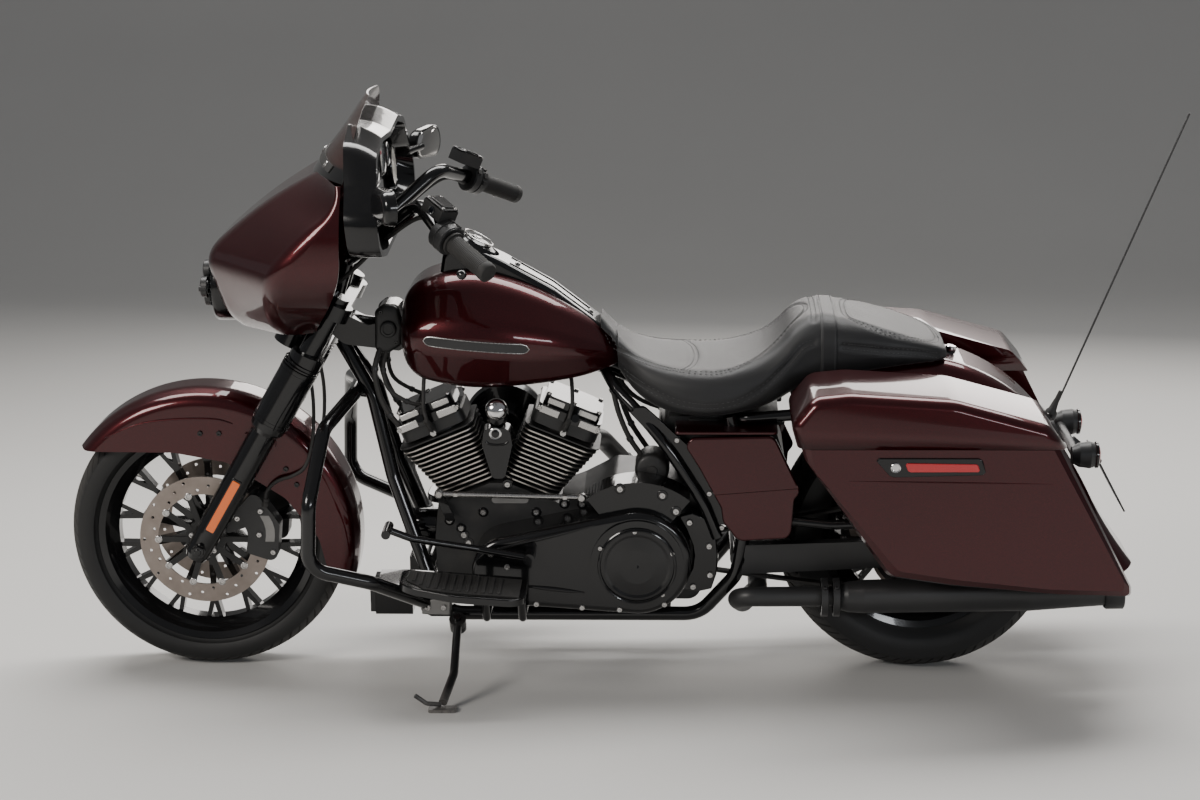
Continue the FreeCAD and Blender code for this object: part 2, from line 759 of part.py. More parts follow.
def dash_body():
    sections = [dash_outline(383, 6), dash_outline(418, 1, DASH_DROP * 0.4), dash_outline(452, 0, DASH_DROP)]
    return loft(sections)


# Gauges and speakers on the panel: y, z, radius of the dial
DIALS = ((60, 1184, 46), (150, 1166, 24), (252, 1120, 49))


def inner_fairing():
    """Black bowl that faces the rider, with gauges and two speakers."""
    bowl = loft([dash_outline(404, 34), dash_outline(453, 12, DASH_DROP)])
    whole = dash_body().cut(bowl)
    rings = []
    for y, z, radius in DIALS:
        for side in (-1, 1):
            rings.append(Part.makeCylinder(radius + 5.5, 20, V(398, side * y, z), X_AXIS))
    rings.append(block(398, 412, -78, 78, 1052, 1130))
    whole = whole.fuse(rings)
    for y, z, radius in DIALS:
        for side in (-1, 1):
            whole = whole.cut(Part.makeCylinder(radius, 6, V(413, side * y, z), X_AXIS))
    whole = tipped(whole).cut(bar_tube(d.bar_radius + 6))
    return feature("inner_fairing", biggest(whole))


# Windshield sections: height, middle x, end x, half width
SHIELD = [
    (1172, 276, 374, 300), (1215, 308, 384, 264), (1262, 344, 394, 226), (1300, 371, 402, 180),
    (1322, 387, 407, 134), (1336, 398, 411, 76),
]


def crescent(height, middle, end, half, wall):
    """Level section of the screen: two arcs closed by short lines."""
    near = half - wall
    outer = Part.Arc(V(end, -half, height), V(middle, 0, height), V(end, half, height)).toShape()
    inner = Part.Arc(V(end, near, height), V(middle + wall, 0, height), V(end, -near, height)).toShape()
    right = Part.LineSegment(V(end, half, height), V(end, near, height)).toShape()
    left = Part.LineSegment(V(end, -near, height), V(end, -half, height)).toShape()
    return Part.Wire([outer, right, inner, left])


def windshield():
    """Low curved screen with a rounded top."""
    wall = d.shield_thickness
    plate = loft([crescent(height, middle, end, half, wall) for height, middle, end, half in SHIELD])
    plate = plate.cut(fairing_solid(-d.seat_fit)).cut(dash_solid())
    return feature("windshield", biggest(plate))


def headlight():
    """Round lamp seated in the fairing's opening: domed lens in front, shell behind."""
    centre = V(d.headlight_x, 0, d.headlight_height)
    radius = d.headlight_radius
    lamp = turned([
        (-6, 0), (-2, radius * 0.6), (4, radius * 0.9), (9, radius), (40, radius),
        (58, radius - 14), (100, 44), (100, 0),
    ], centre, X_AXIS)
    return feature("headlight", lamp)


# Skirt line of the front fender: x, z, corner radius
SKIRT = [
    (-420, 545, 0), (-262, 530, 30), (-60, 528, 60), (60, 505, 60), (190, 420, 60),
    (262, 325, 60), (290, 206, 10), (420, 206, 0), (420, 100, 0), (-420, 100, 0),
]


def front_fender():
    """Deep fender: crown and side skirts turned about the axle, then trimmed to the skirt line."""
    outer = d.front_fender_radius
    half = d.front_fender_half_width
    wall = d.sheet_metal
    low = 150
    profile = [
        (half, low, 0), (half, outer - 16, 30), (half * 0.45, outer, 60), (-half * 0.45, outer, 60),
        (-half, outer - 16, 30), (-half, low, 0), (wall - half, low, 0),
        (wall - half, outer - 18, 28), (-half * 0.45, outer - wall, 56),
        (half * 0.45, outer - wall, 56), (half - wall, outer - 18, 28), (half - wall, low, 0),
    ]
    wire = rounded_wire([(V(0, y, z), radius) for y, z, radius in profile])
    arch = Part.Face(wire)
    arch.rotate(V(0, 0, 0), Y_AXIS, -56)
    arch = arch.revolve(V(0, 0, 0), Y_AXIS, 162)
    arch.translate(front_axle)
    trim = slab(SKIRT, -200, 200)
    shell = biggest(arch.cut(trim))
    stays = []
    for side in (-1, 1):
        spot = on_fork(front_axle.z + 240, side)
        inside = side * (half - 1)
        outside = side * (d.fork_half_spacing - d.slider_radius - d.seat_fit - 1)
        low_y, high_y = sorted((inside, outside))
        stays.append(block(spot.x - 34, spot.x + 34, low_y, high_y, spot.z - 16, spot.z + 16))
    legs = Part.makeCompound([
        Part.makeCylinder(d.slider_radius + 1 + d.seat_fit, 400,
                          front_axle + Y_AXIS * (side * d.fork_half_spacing), fork_up)
        for side in (-1, 1)
    ])
    shape = fused([shell] + stays).cut(legs)
    return feature("front_fender", biggest(shape))


def front_calipers():
    """A four-piston caliper behind each leg, bolted to it, with a slot round the disc."""
    pieces = []
    for side in (-1, 1):
        slot = Part.makeCylinder(d.disc_radius + 2, d.disc_thickness + 3,
                                 V(0, side * d.disc_half_spacing - (d.disc_thickness + 3) / 2, 0), Y_AXIS)
        outline = rounded_wire([
            (polar(-14, 100), 12), (polar(-16, 174), 18), (polar(14, 182), 20),
            (polar(46, 174), 18), (polar(44, 100), 12), (polar(15, 108), 40),
        ])
        body = Part.Face(outline).extrude(V(0, 46, 0))
        body.translate(V(0, 54 if side > 0 else -100, 0))
        lug = Part.Face(rounded_wire([
            (polar(20, 60), 8), (polar(20, 112), 8), (polar(48, 120), 8), (polar(52, 60), 8),
        ])).extrude(V(0, 12, 0))
        lug.translate(V(0, 84 if side > 0 else -96, 0))
        whole = body.fuse(lug).removeSplitter().cut(slot)
        whole.translate(front_axle)
        leg = Part.makeCylinder(d.slider_radius + d.seat_fit, 420,
                                front_axle + Y_AXIS * (side * d.fork_half_spacing) - fork_up * 30, fork_up)
        pieces.append(biggest(whole.cut(leg)))
    return feature("front_calipers", Part.makeCompound(pieces))


def cradle_route(side):
    """One side of the cradle: down tube, lower rail and rear upright."""
    wide = side * d.cradle_half_width
    low = d.cradle_height
    return [
        (322, side * 14, 772), (392, side * 38, 652), (434, side * 64, 470), (500, side * 100, 284),
        (545, wide, low),
        (1128, wide, low), (1212, side * 142, 262), (1236, side * 142, 420), (1196, side * 128, 628),
    ]


def head_tube():
    low = on_steering_axis(d.lower_clamp_height) + steer_up * (d.clamp_thickness / 2 + d.seat_fit)
    high = on_steering_axis(d.upper_clamp_height) - steer_up * (d.clamp_thickness / 2 + d.seat_fit)
    return rod(low, high, d.head_tube_radius)


def cradle_tube(side, grow=0.0):
    return tube(cradle_route(side), d.frame_tube_radius + grow, 70)


def backbone_tube(grow=0.0):
    return tube([(215, 0, 826), (560, 0, 776), (925, 0, 716), (1190, 0, 610)], d.backbone_radius + grow, 120)


def seat_rail(side, grow=0.0):
    route = [(1180, side * 20, 614), (1215, side * 132, 622), (1420, side * 138, 640),
             (1760, side * 138, 600)]
    return tube(route, d.seat_rail_radius + grow, 50)


def bag_rail(side, grow=0.0):
    route = [(1232, side * 142, 400), (1420, side * 160, 385), (1700, side * 160, 395)]
    return tube(route, d.bag_rail_radius + grow, 40)


def frame():
    """Cradle, backbone, seat rails, head tube, engine seats and the voltage regulator."""
    pieces = [head_tube(), backbone_tube(), neck_gusset(), stand_bracket(), stand_casting()]
    for side in (-1, 1):
        pieces += [cradle_tube(side), seat_rail(side), bag_rail(side)]
    pieces.append(rod((1236, -142, 420), (1236, 142, 420), 14))
    pieces.append(rod((d.pivot_x, -150, d.pivot_height), (d.pivot_x, 150, d.pivot_height), d.pivot_radius))
    for x in (640, 1040):
        pieces.append(block(x - 24, x + 24, -d.cradle_half_width, d.cradle_half_width,
                            d.cradle_height + 6, d.cradle_height + 22))
    regulator_top = d.cradle_height + 34
    pieces.append(block(384, 470, -66, 66, regulator_top - 62, regulator_top))
    pieces.append(rod((512, -106, 262), (512, 106, 262), 14))
    pieces.append(block(462, 520, -30, 30, regulator_top - 20, 262))
    shape = fused(pieces)
    bore = rod(on_steering_axis(d.lower_clamp_height - 40), on_steering_axis(d.upper_clamp_height + 40),
               d.stem_radius + d.bore_gap)
    return feature("frame", biggest(shape.cut(bore)))


# Side outline of the neck cover: x, z, corner radius
NECK = [
    (255, 835, 6), (300, 848, 20), (350, 830, 20), (385, 812, 10), (404, 816, 10), (410, 860, 20),
    (462, 862, 20), (462, 752, 10), (330, 768, 40),
]


def neck_gusset():
    """Pressed cover between the steering head and the tank, clear of both turning clamps."""
    return slab(NECK, -34, 34)


# Side outline of the stand's casting: x, z, corner radius
CASTING = [(500, 186, 8), (512, 222, 12), (572, 222, 10), (572, 172, 6), (524, 172, 10)]
CASTING_FACE = 178.0


def stand_casting():
    """Cast lug on the left lower rail ahead of the stand's pivot, with the guard's end on its face."""
    return slab(CASTING, -CASTING_FACE, -134)


def engine_case():
    """Crankcase and gear case in one block with the two cylinder decks."""
    crank = V(d.crank_x, 0, d.crank_height)
    decks = []
    for side in (-1, 1):
        up = V(side * math.sin(math.radians(d.cylinder_angle)), 0, math.cos(math.radians(d.cylinder_angle)))
        along = V(up.z, 0, -up.x)
        seat = crank + up * d.deck_height
        decks.append((seat - along * 64, seat + along * 64))
    front, rear = decks
    floor = d.cradle_height + 22 + d.seat_fit
    rows = [(536, floor, 30), (1128, floor, 30), (1146, 330, 40), (1130, 424, 40), (1080, 462, 30),
            (940, 470, 30), (868, 432, 20)]
    for corner in (rear[1], rear[0], front[1], front[0]):
        rows.append((corner.x, corner.z, 0))
    rows.append((530, 330, 50))
    case = slab(rows, -d.case_half_width, d.case_half_width)
    rail = rod((512, -106, 262), (512, 106, 262), 14 + d.seat_fit)
    sprocket = rod((d.sprocket_x, 1 - d.case_half_width, d.clutch_height),
                   (d.sprocket_x, -(d.rear_tyre_width / 2 + 32), d.clutch_height), d.sprocket_radius)
    return feature("engine_case", biggest(fused([case, sprocket]).cut(rail)))


def cylinder(side):
    """Barrel, fins that widen to the top, and the head."""
    up = V(side * math.sin(math.radians(d.cylinder_angle)), 0, math.cos(math.radians(d.cylinder_angle)))
    outward = V(side * up.z, 0, -side * up.x)
    seat = V(d.crank_x, 0, d.crank_height) + up * d.deck_height
    stack = d.fin_count * d.fin_pitch
    pieces = [Part.makeCylinder(d.barrel_radius, stack + 8, seat, up)]
    for index in range(int(d.fin_count)):
        level = seat + up * (8 + index * d.fin_pitch)
        outer = 54 + 46 * index / max(1, d.fin_count - 1)
        pieces.append(fin(level, up, outward, -80, outer, d.fin_half_depth, d.fin_thickness))
    top = seat + up * (stack + 8)
    pieces.append(fin(top, up, outward, -70, 86, 74, 26))
    return fused(pieces)


def fin(level, up, outward, inner, outer, half, thickness):
    """A plate across one cylinder with rounded corners."""
    across = Y_AXIS
    corners = [
        (level + outward * inner - across * half, 22),
        (level + outward * outer - across * half, 34),
        (level + outward * outer + across * half, 34),
        (level + outward * inner + across * half, 22),
    ]
    return Part.Face(rounded_wire(corners)).extrude(up * thickness)


def cylinder_room(side):
    """What one cylinder with its fins fills, as one block."""
    up = V(side * math.sin(math.radians(d.cylinder_angle)), 0, math.cos(math.radians(d.cylinder_angle)))
    outward = V(side * up.z, 0, -side * up.x)
    seat = V(d.crank_x, 0, d.crank_height) + up * d.deck_height
    grow = d.seat_fit
    tall = d.fin_count * d.fin_pitch + 34
    return fin(seat, up, outward, -80 - grow, 100 + grow, d.fin_half_depth + grow, tall)


def cylinders():
    return feature("cylinders", Part.makeCompound([cylinder(-1), cylinder(1)]))


def rocker_boxes():
    """Two-step covers on both heads."""
    boxes = []
    for side in (-1, 1):
        up = V(side * math.sin(math.radians(d.cylinder_angle)), 0, math.cos(math.radians(d.cylinder_angle)))
        outward = V(side * up.z, 0, -side * up.x)
        base = V(d.crank_x, 0, d.crank_height) + up * (d.deck_height + d.fin_count * d.fin_pitch + 34)
        low = fin(base, up, outward, -66, 84, 78, 20)
        high = fin(base + up * 20, up, outward, -58, 76, 66, 22)
        plug = base + outward * 20
        spark = rod(plug - Y_AXIS * 60 + up * 12, plug - Y_AXIS * 104 + up * 24, 9)
        boxes.append(fused([low, high, spark]))
    return feature("rocker_boxes", Part.makeCompound(boxes))


def hull_of_circles(first, first_radius, second, second_radius):
    """Outline round two circles in the X-Z plane."""
    gap = second - first
    distance = gap.Length
    heading = math.atan2(gap.z, gap.x)
    lean = math.acos((first_radius - second_radius) / distance)
    points = []
    for centre, radius, angle in (
        (first, first_radius, heading + lean), (second, second_radius, heading + lean),
        (second, second_radius, heading - lean), (first, first_radius, heading - lean),
    ):
        points.append(centre + V(math.cos(angle) * radius, 0, math.sin(angle) * radius))
    onward = gap / distance
    return Part.Wire([
        Part.LineSegment(points[0], points[1]).toShape(),
        Part.Arc(points[1], second + onward * second_radius, points[2]).toShape(),
        Part.LineSegment(points[2], points[3]).toShape(),
        Part.Arc(points[3], first - onward * first_radius, points[0]).toShape(),
    ])


def primary_cover():
    """Long cover over the primary drive with a raised ring round the derby cover."""
    start = -d.case_half_width - d.seat_fit
    front = V(700, start, 287)
    clutch = V(d.clutch_x, start, d.clutch_height)
    outline = hull_of_circles(front, d.primary_front_radius, clutch, d.primary_rear_radius)
    depth = d.primary_face - d.case_half_width
    cover = Part.Face(outline).extrude(V(0, -depth, 0))
    face_y = start - depth
    cover = rounded(cover, 16, lambda edge: abs(edge.CenterOfMass.y - face_y) < 1e-3)
    middle = V(d.clutch_x, face_y - 8, d.clutch_height)
    ring = Part.makeCylinder(d.derby_radius + 16, 10, middle, Y_AXIS)
    cover = cover.fuse(ring).removeSplitter()
    seat = Part.makeCylinder(d.derby_radius + d.seat_fit, 6, middle, Y_AXIS)
    cover = cover.cut(seat)
    lobe = crescent_lobe(start, depth * 0.75)
    whole = cover.fuse(lobe).removeSplitter().cut(belt_room())
    return feature("primary_cover", biggest(whole))


def crescent_lobe(start, depth):
    """Curved housing above the clutch."""
    centre = V(d.clutch_x, start, d.clutch_height)
    outer = d.primary_rear_radius + 62
    inner = d.primary_rear_radius - 12
    angles = (50, 88, 128)
    far = [centre + polar(angle, outer) for angle in angles]
    near = [centre + polar(angle, inner) for angle in angles]
    wire = Part.Wire([
        Part.Arc(far[0], far[1], far[2]).toShape(),
        Part.LineSegment(far[2], near[2]).toShape(),
        Part.Arc(near[2], near[1], near[0]).toShape(),
        Part.LineSegment(near[0], far[0]).toShape(),
    ])
    return Part.Face(wire).extrude(V(0, -depth, 0))


def derby_cover():
    """Round clutch cover, a shallow turned cap."""
    place = at(V(d.clutch_x, -(d.primary_face + d.seat_fit + 2 + d.seat_fit), d.clutch_height))
    body = body_node("derby_cover", place)
    section = sketch_on(body, "YZ_Plane", "DerbySection")
    bound_polygon(section, [
        (0, 0), (0, "Sizes.derby_radius - Sizes.seat_fit"), (-6, "Sizes.derby_radius - Sizes.seat_fit"),
        (-10, "Sizes.derby_radius - 6"), (-11, "Sizes.derby_radius - 14"), (-9, "Sizes.derby_radius - 20"),
        (-13, "Sizes.derby_radius * 0.45"), (-14, 0),
    ])
    revolution(body, section)
    return body


def cam_cover():
    """Right-hand cam cover with four pushrod tubes."""
    start = d.case_half_width + d.seat_fit
    outline = side_outline([
        (560, 215, 40), (790, 215, 40), (806, 330, 50), (722, 392, 50), (632, 392, 50), (548, 330, 50),
    ], start)
    cover = Part.Face(outline).extrude(V(0, 42, 0))
    pieces = [cover]
    for side in (-1, 1):
        up = V(side * math.sin(math.radians(d.cylinder_angle)), 0, math.cos(math.radians(d.cylinder_angle)))
        outward = V(side * up.z, 0, -side * up.x)
        head = V(d.crank_x, 0, d.crank_height) + up * (d.deck_height + d.fin_count * d.fin_pitch + 22)
        for spread in (-6, 24):
            foot = V(d.crank_x + side * (26 + spread), start + 20, 372)
            pieces.append(rod(foot, head + outward * (spread - 34) + Y_AXIS * (start + 12), 11))
    return feature("cam_cover", fused(pieces))


def air_cleaner():
    """Round air cleaner on the right with its backing plate."""
    inner = d.fin_half_depth + d.seat_fit + 46
    shape = turned([
        (-46, 0), (-46, 40), (0, 40), (0, 92), (16, 98), (52, 92), (66, 74), (70, 0),
    ], V(d.crank_x, inner, 536), Y_AXIS)
    return feature("air_cleaner", shape)


def horn_cover():
    """Horn between the cylinders on the left: domed cap over a tapered housing."""
    start = -d.fin_half_depth - d.seat_fit
    inner = [(646, 600, 16), (708, 600, 16), (714, 560, 16), (694, 478, 12), (664, 478, 12),
             (640, 560, 16)]
    outer = [(x * 0.92 + d.crank_x * 0.08, z * 0.96 + 550 * 0.04, radius) for x, z, radius in inner]
    housing = loft([side_outline(inner, start), side_outline(outer, start - 42)])
    dome = turned([(-20, 0), (-20, 24), (14, 24), (26, 16), (31, 0)],
                  V(678, start - 18, 622), V(0, -1, 0))
    return feature("horn_cover", fused([housing, dome]))


def exhaust():
    """Headers on the right, a crossover pipe and two mufflers."""
    side = d.muffler_half_spacing
    pieces = []
    for sign in (-1, 1):
        pieces.append(turned([
            (0, 0), (0, d.pipe_radius + 4), (26, d.muffler_radius - 3), (60, d.muffler_radius),
            (420, d.muffler_radius + 4), (610, d.muffler_radius - 5), (618, d.muffler_radius - 12), (618, 0),
        ], V(1430, sign * side, 240), V(1, 0, 0.03)))
    radius = d.pipe_radius
    pieces.append(tube([(1436, -side, 242), (1204, -side, 240), (1226, -150, 197), (1262, -60, 201),
                        (1262, 120, 206), (1320, side, 240), (1436, side, 242)], radius, 42))
    front_header = [(504, 66, 516), (478, 112, 506), (432, 172, 420), (470, 194, 300), (560, 196, 236),
                    (900, 200, 222), (1150, 210, 222), (1300, side, 238)]
    rear_header = [(862, 60, 520), (900, 120, 505), (948, 186, 430), (990, 200, 300), (1080, 206, 226)]
    pieces.append(tube(front_header, radius, 60))
    pieces.append(tube(rear_header, radius, 70))
    whole = fused(pieces)
    for sign in (-1, 1):
        whole = whole.cut(cylinder_room(sign))
    return feature("exhaust", biggest(whole))


# Fuel tank stations: x, half width share, top, widest height, bottom, bottom half width share
TANK = [
    (468, 0.62, 868, 800, 760, 0.42),
    (500, 0.88, 915, 815, 716, 0.62),
    (600, 1.0, 944, 820, 692, 0.70),
    (740, 0.96, 915, 806, 694, 0.66),
    (860, 0.66, 850, 782, 706, 0.50),
    (945, 0.30, 786, 756, 726, 0.24),
]


def tank_solid():
    sections = []
    for x, share, top, middle, bottom, low_share in TANK:
        half = d.tank_half_width * share
        low = d.tank_half_width * low_share
        crown = half * 0.5
        tall = top - bottom
        sections.append(cross_outline([
            (-low, bottom, tall * 0.15), (-half, middle, tall * 0.35), (-crown, top, tall * 0.35),
            (crown, top, tall * 0.35), (half, middle, tall * 0.35), (low, bottom, tall * 0.15),
        ], x))
    return loft(sections)


def backbone_room():
    """Tunnel under the tank for the backbone."""
    clear = d.backbone_radius + 3
    rows = [(440, 640, 0), (960, 640, 0), (960, 760, 0), (560, 802, 0), (440, 822, 0)]
    return slab(rows, -clear, clear)


def fuel_tank():
    return feature("fuel_tank", biggest(tank_solid().cut(backbone_room())))


def door_seat():
    """Middle of the fuel door and its upward direction."""
    slope = math.radians(34)
    return V(636, 0, 985), V(math.sin(slope), 0, math.cos(slope))


def tank_console():
    """Raised strip along the tank with the round fuel filler seat."""
    half = d.console_half_width
    rows = [(540, 860, 0), (560, 985, 30), (600, 1004, 30), (690, 962, 60), (800, 900, 100),
            (930, 800, 20), (950, 740, 0)]
    strip = slab(rows, -half, half)
    strip = rounded(strip, 12, lambda edge: abs(abs(edge.CenterOfMass.y) - half) < 1e-3
                    and edge.CenterOfMass.z > 870 and edge.Length > 20 and edge.CenterOfMass.x > 545)
    centre, up = door_seat()
    seat = Part.makeCylinder(d.fuel_door_radius + 2, 80, centre - up * 4, up)
    rim = Part.makeCylinder(d.fuel_door_radius + 6, 60, centre - up * 64, up)
    strip = strip.fuse(rim).cut(seat)
    strip = strip.cut(tank_solid()).cut(seat_solid(d.seat_fit))
    return feature("tank_console", biggest(strip))


def fuel_door():
    """Domed round door, hinged at its front edge."""
    centre, up = door_seat()
    radius = d.fuel_door_radius
    base = centre - up * (4 - d.seat_fit)
    dome = [(0, 0), (0, radius), (5, radius), (14, radius * 0.82), (20, radius * 0.5), (22, 0)]
    return feature("fuel_door", turned(dome, base, up))


# Seat stations: x, half width share, top, bottom, corner height
SEAT = [
    (906, 0.30, 838, 800), (960, 0.52, 782, 704), (1030, 0.86, 745, 652), (1120, 1.0, 734, 634),
    (1210, 0.98, 742, 640), (1290, 0.90, 782, 660), (1345, 0.84, 836, 686), (1430, 0.82, 846, 712),
    (1540, 0.80, 820, 736), (1640, 0.66, 786, 746), (1676, 0.46, 766, 750),
]


def seat_solid(grow=0.0):
    sections = []
    for x, share, top, bottom in SEAT:
        half = d.seat_half_width * share + grow
        tall = top - bottom + 2 * grow
        sections.append(cross_outline([
            (-half, bottom - grow, tall * 0.35), (-half * 0.93, top + grow, tall * 0.45),
            (half * 0.93, top + grow, tall * 0.45), (half, bottom - grow, tall * 0.35),
        ], x))
    return loft(sections)


def seat():
    solid = seat_solid().cut(fender_solid(d.seat_gap)).cut(tank_solid()).cut(backbone_tube(3))
    for side in (-1, 1):
        solid = solid.cut(seat_rail(side, 3))
    return feature("seat", biggest(solid))


# Rear fender stations along its crown: x, z, direction of the section in degrees, depth
REAR_FENDER = [
    (1330, 668, 150, 70), (1420, 720, 122, 150), (1540, 745, 103, 210), (1680, 742, 82, 235),
    (1800, 690, 64, 235), (1890, 610, 48, 230), (1950, 525, 32, 220), (2010, 416, 27, 200),
    (2104, 270, 27, 150),
]


def fender_solid(grow=0.0):
    """Crowned body of the rear fender, built from sections square to its crown."""
    sections = []
    for x, z, angle, depth in REAR_FENDER:
        half = d.rear_fender_half_width + grow
        out = polar(angle)
        crown = V(x, 0, z) + out * grow
        foot = V(x, 0, z) - out * depth
        corners = [
            (foot - Y_AXIS * half, 0), (crown - Y_AXIS * half, 46),
            (crown + Y_AXIS * half, 46), (foot + Y_AXIS * half, 0),
        ]
        sections.append(rounded_wire(corners))
    return loft(sections)


def rear_fender():
    """Sheet shell over the rear wheel, open below, with its sides cut back round the hub."""
    wall = d.sheet_metal
    outside = d.rear_fender_half_width
    inside = outside - wall
    sections = []
    for x, z, angle, depth in REAR_FENDER:
        out = polar(angle)
        crown = V(x, 0, z)
        foot = crown - out * depth
        under = crown - out * wall
        sections.append(rounded_wire([
            (foot - Y_AXIS * outside, 0), (crown - Y_AXIS * outside, 46), (crown + Y_AXIS * outside, 46),
            (foot + Y_AXIS * outside, 0), (foot + Y_AXIS * inside, 0), (under + Y_AXIS * inside, 43),
            (under - Y_AXIS * inside, 43), (foot - Y_AXIS * inside, 0),
        ]))
    arch = Part.makeCylinder(186, 300, rear_axle - Y_AXIS * 150, Y_AXIS)
    return feature("rear_fender", biggest(loft(sections).cut(arch)))


# Left side cover outline: x, z, corner radius
SIDE_COVER = [
    (1085, 594, 20), (1292, 598, 20), (1352, 470, 20), (1338, 452, 12), (1330, 362, 20), (1214, 355, 24),
    (1180, 400, 24), (1176, 432, 20), (1129, 522, 30),
]


def side_covers():
    """Painted side panels on three grommet pins each."""
    wall = 10
    face = -d.side_cover_face
    panel = slab(SIDE_COVER, face, face + wall)
    panel = rounded(panel, 5, lambda edge: abs(edge.CenterOfMass.y - face) < 1e-3)
    crease = slab([(1150, 470, 0), (1345, 486, 0), (1345, 478, 0), (1150, 462, 0)], face - 1, face + 2)
    panel = panel.cut(crease)
    pins = [rod((x, face + wall - 1, z), (x, -(154 + d.seat_fit), z), 7)
            for x, z in ((1212, 560), (1242, 430), (1226, 470))]
    cover = fused([panel] + pins)
    cover = biggest(cover.cut(cradle_tube(-1, d.seat_fit)))
    return feature("side_covers", Part.makeCompound(both_sides(cover)))


# Saddlebag outline seen from the left: x, z, corner radius
BAG = [
    (1340, 640, 0), (1350, 610, 20), (1528, 352, 30), (1660, 332, 60), (1890, 312, 80), (2046, 308, 14),
    (2044, 330, 14), (1886, 640, 0),
]
# Lid outline above the seam: x, z, corner radius
LID = [
    (1332, 640, 0), (1318, 690, 30), (1364, 748, 40), (1440, 756, 120), (1660, 742, 140), (1856, 688, 40),
    (1896, 640, 0),
]


def bag_solid(rows, inset, seam):
    """A bag or lid: side outline drawn in at its outer face."""
    centre_x = 1660
    centre_z = 480 if seam > 0 else 700
    sections = []
    edge = 26
    # distance from the middle of the machine, how far the outline is drawn in there
    stations = ((d.bag_inner + inset, 0), (d.bag_outer - edge, 0), (d.bag_outer - 8, 7),
                (d.bag_outer - inset, 20))
    for y, shrink in stations:
        amount = shrink + inset
        moved = [(drawn_in(x, centre_x, amount), held_seam(z, centre_z, amount), radius)
                 for x, z, radius in rows]
        sections.append(side_outline(moved, -y))
    return Part.makeLoft(sections, True, True)


def drawn_in(value, centre, amount):
    return value - amount if value > centre else value + amount


def held_seam(z, centre, amount):
    if abs(z - d.bag_seam_height) < 1e-6:
        return z
    return z - amount if z > centre else z + amount


def saddlebag(side):
    """Hollow saddlebag, open at the top, carried on two rails from the frame."""
    outer = bag_solid(BAG, 0, 1)
    inner = bag_solid(BAG, d.bag_wall, 1)
    lifted_inner = inner.fuse(block(1362, 1872, -(d.bag_outer - 14), -(d.bag_inner + d.bag_wall),
                                    d.bag_seam_height - 2, d.bag_seam_height + 40))
    bag = outer.cut(lifted_inner)
    bosses = [
        rod((1470, -(d.bag_inner + 1), 600), (1470, -(152 + d.seat_fit), 600), 12),
        rod((1700, -(d.bag_inner + 1), 600), (1700, -(152 + d.seat_fit), 600), 12),
        rod((1640, -(d.bag_inner + 1), 392), (1640, -(172 + d.seat_fit), 392), 12),
    ]
    bag = biggest(bag.fuse(bosses).removeSplitter())
    return bag if side < 0 else mirrored(bag)


def bag_lid(side):
    """Domed lid hinged along its outboard edge."""
    outer = bag_solid(LID, 0, -1)
    inner = bag_solid(LID, d.bag_wall, -1)
    lid = outer.cut(inner)
    opening = block(1360, 1870, -(d.bag_outer - 16), -(d.bag_inner + d.bag_wall), 600, d.bag_seam_height + 6)
    lid = biggest(lid.cut(opening))
    lid.translate(Z_AXIS * d.lid_gap)
    return lid if side < 0 else mirrored(lid)


def bags():
    feature("saddlebag_left", saddlebag(-1))
    feature("saddlebag_right", saddlebag(1))
    feature("bag_lid_left", bag_lid(-1))
    feature("bag_lid_right", bag_lid(1))


# Engine guard on the right, from the middle of its top: x, y, z
GUARD = [
    (352, 60, 660), (306, 232, 626), (284, 345, 490), (278, 352, 345), (410, 312, 300), (520, 160, 196),
]
GUARD_BEND = 55.0


def engine_guard():
    """One bent tube: out from the down tubes, down each side and back to the lower rails."""
    left = [(x, -y, z) for x, y, z in reversed(GUARD)]
    guard = tube(left + GUARD, d.guard_radius, GUARD_BEND)
    clips = []
    for side in (-1, 1):
        clips.append(rod((354, side * 30, 658), (388, side * 36, 656), 12))
        clips.append(rod((516, side * 165, 198), (556, side * 134, 176), 12))
    room = [cradle_tube(side, d.seat_fit) for side in (-1, 1)]
    room.append(block(460, 620, -(CASTING_FACE + d.seat_fit), -100, 120, 260))
    return feature("engine_guard", biggest(fused([guard] + clips).cut(Part.makeCompound(room))))


def floorboards():
    """Long boards with pads on two arms each from the lower rails."""
    top = d.board_top
    plate = Part.Face(plan_outline([
        (470, -262, 30), (752, -250, 24), (752, -402, 40), (600, -408, 90), (476, -372, 60),
    ], top - 16)).extrude(V(0, 0, 16))
    plate = rounded(plate, 3, lambda edge: abs(edge.CenterOfMass.z - top) < 1e-3)
    plate.rotate(V(610, 0, top), Y_AXIS, 5)
    arms = []
    # each arm: x, drop of the tilted plate there
    for x, drop in ((655, 19), (735, 26)):
        route = [(x, -138, 170), (x, -170, 190), (x, -238, 190), (x, -268, 240), (x, -284, top - drop)]
        arms.append(tube(route, 9, 14))
    board = fused([plate] + arms)
    board = biggest(board.cut(cradle_tube(-1, d.seat_fit)))
    return feature("floorboards", Part.makeCompound(both_sides(board)))


def foot_controls():
    """Shift linkage and heel-toe pedal on the left, brake pedal on the right."""
    pedal = tube([(447, -292, 416), (500, -284, 392), (640, -236, 352), (752, -236, 332)], 8, 30)
    peg = rod((447, -330, 416), (447, -262, 416), 10)
    pivot = rod((752, -207, 332), (752, -250, 332), 13)
    left = fused([pedal, peg, pivot])
    pieces = [left, shift_rod()]
    brake = tube([(440, 330, 400), (470, 296, 372), (600, 240, 334), (600, 240, 184), (600, 146, 172)], 8, 20)
    pad = block(412, 462, 300, 372, 404, 414)
    brake = fused([brake, pad])
    rail = cradle_tube(1, d.seat_fit)
    return feature("foot_controls", Part.makeCompound(pieces + [biggest(brake.cut(rail))]))


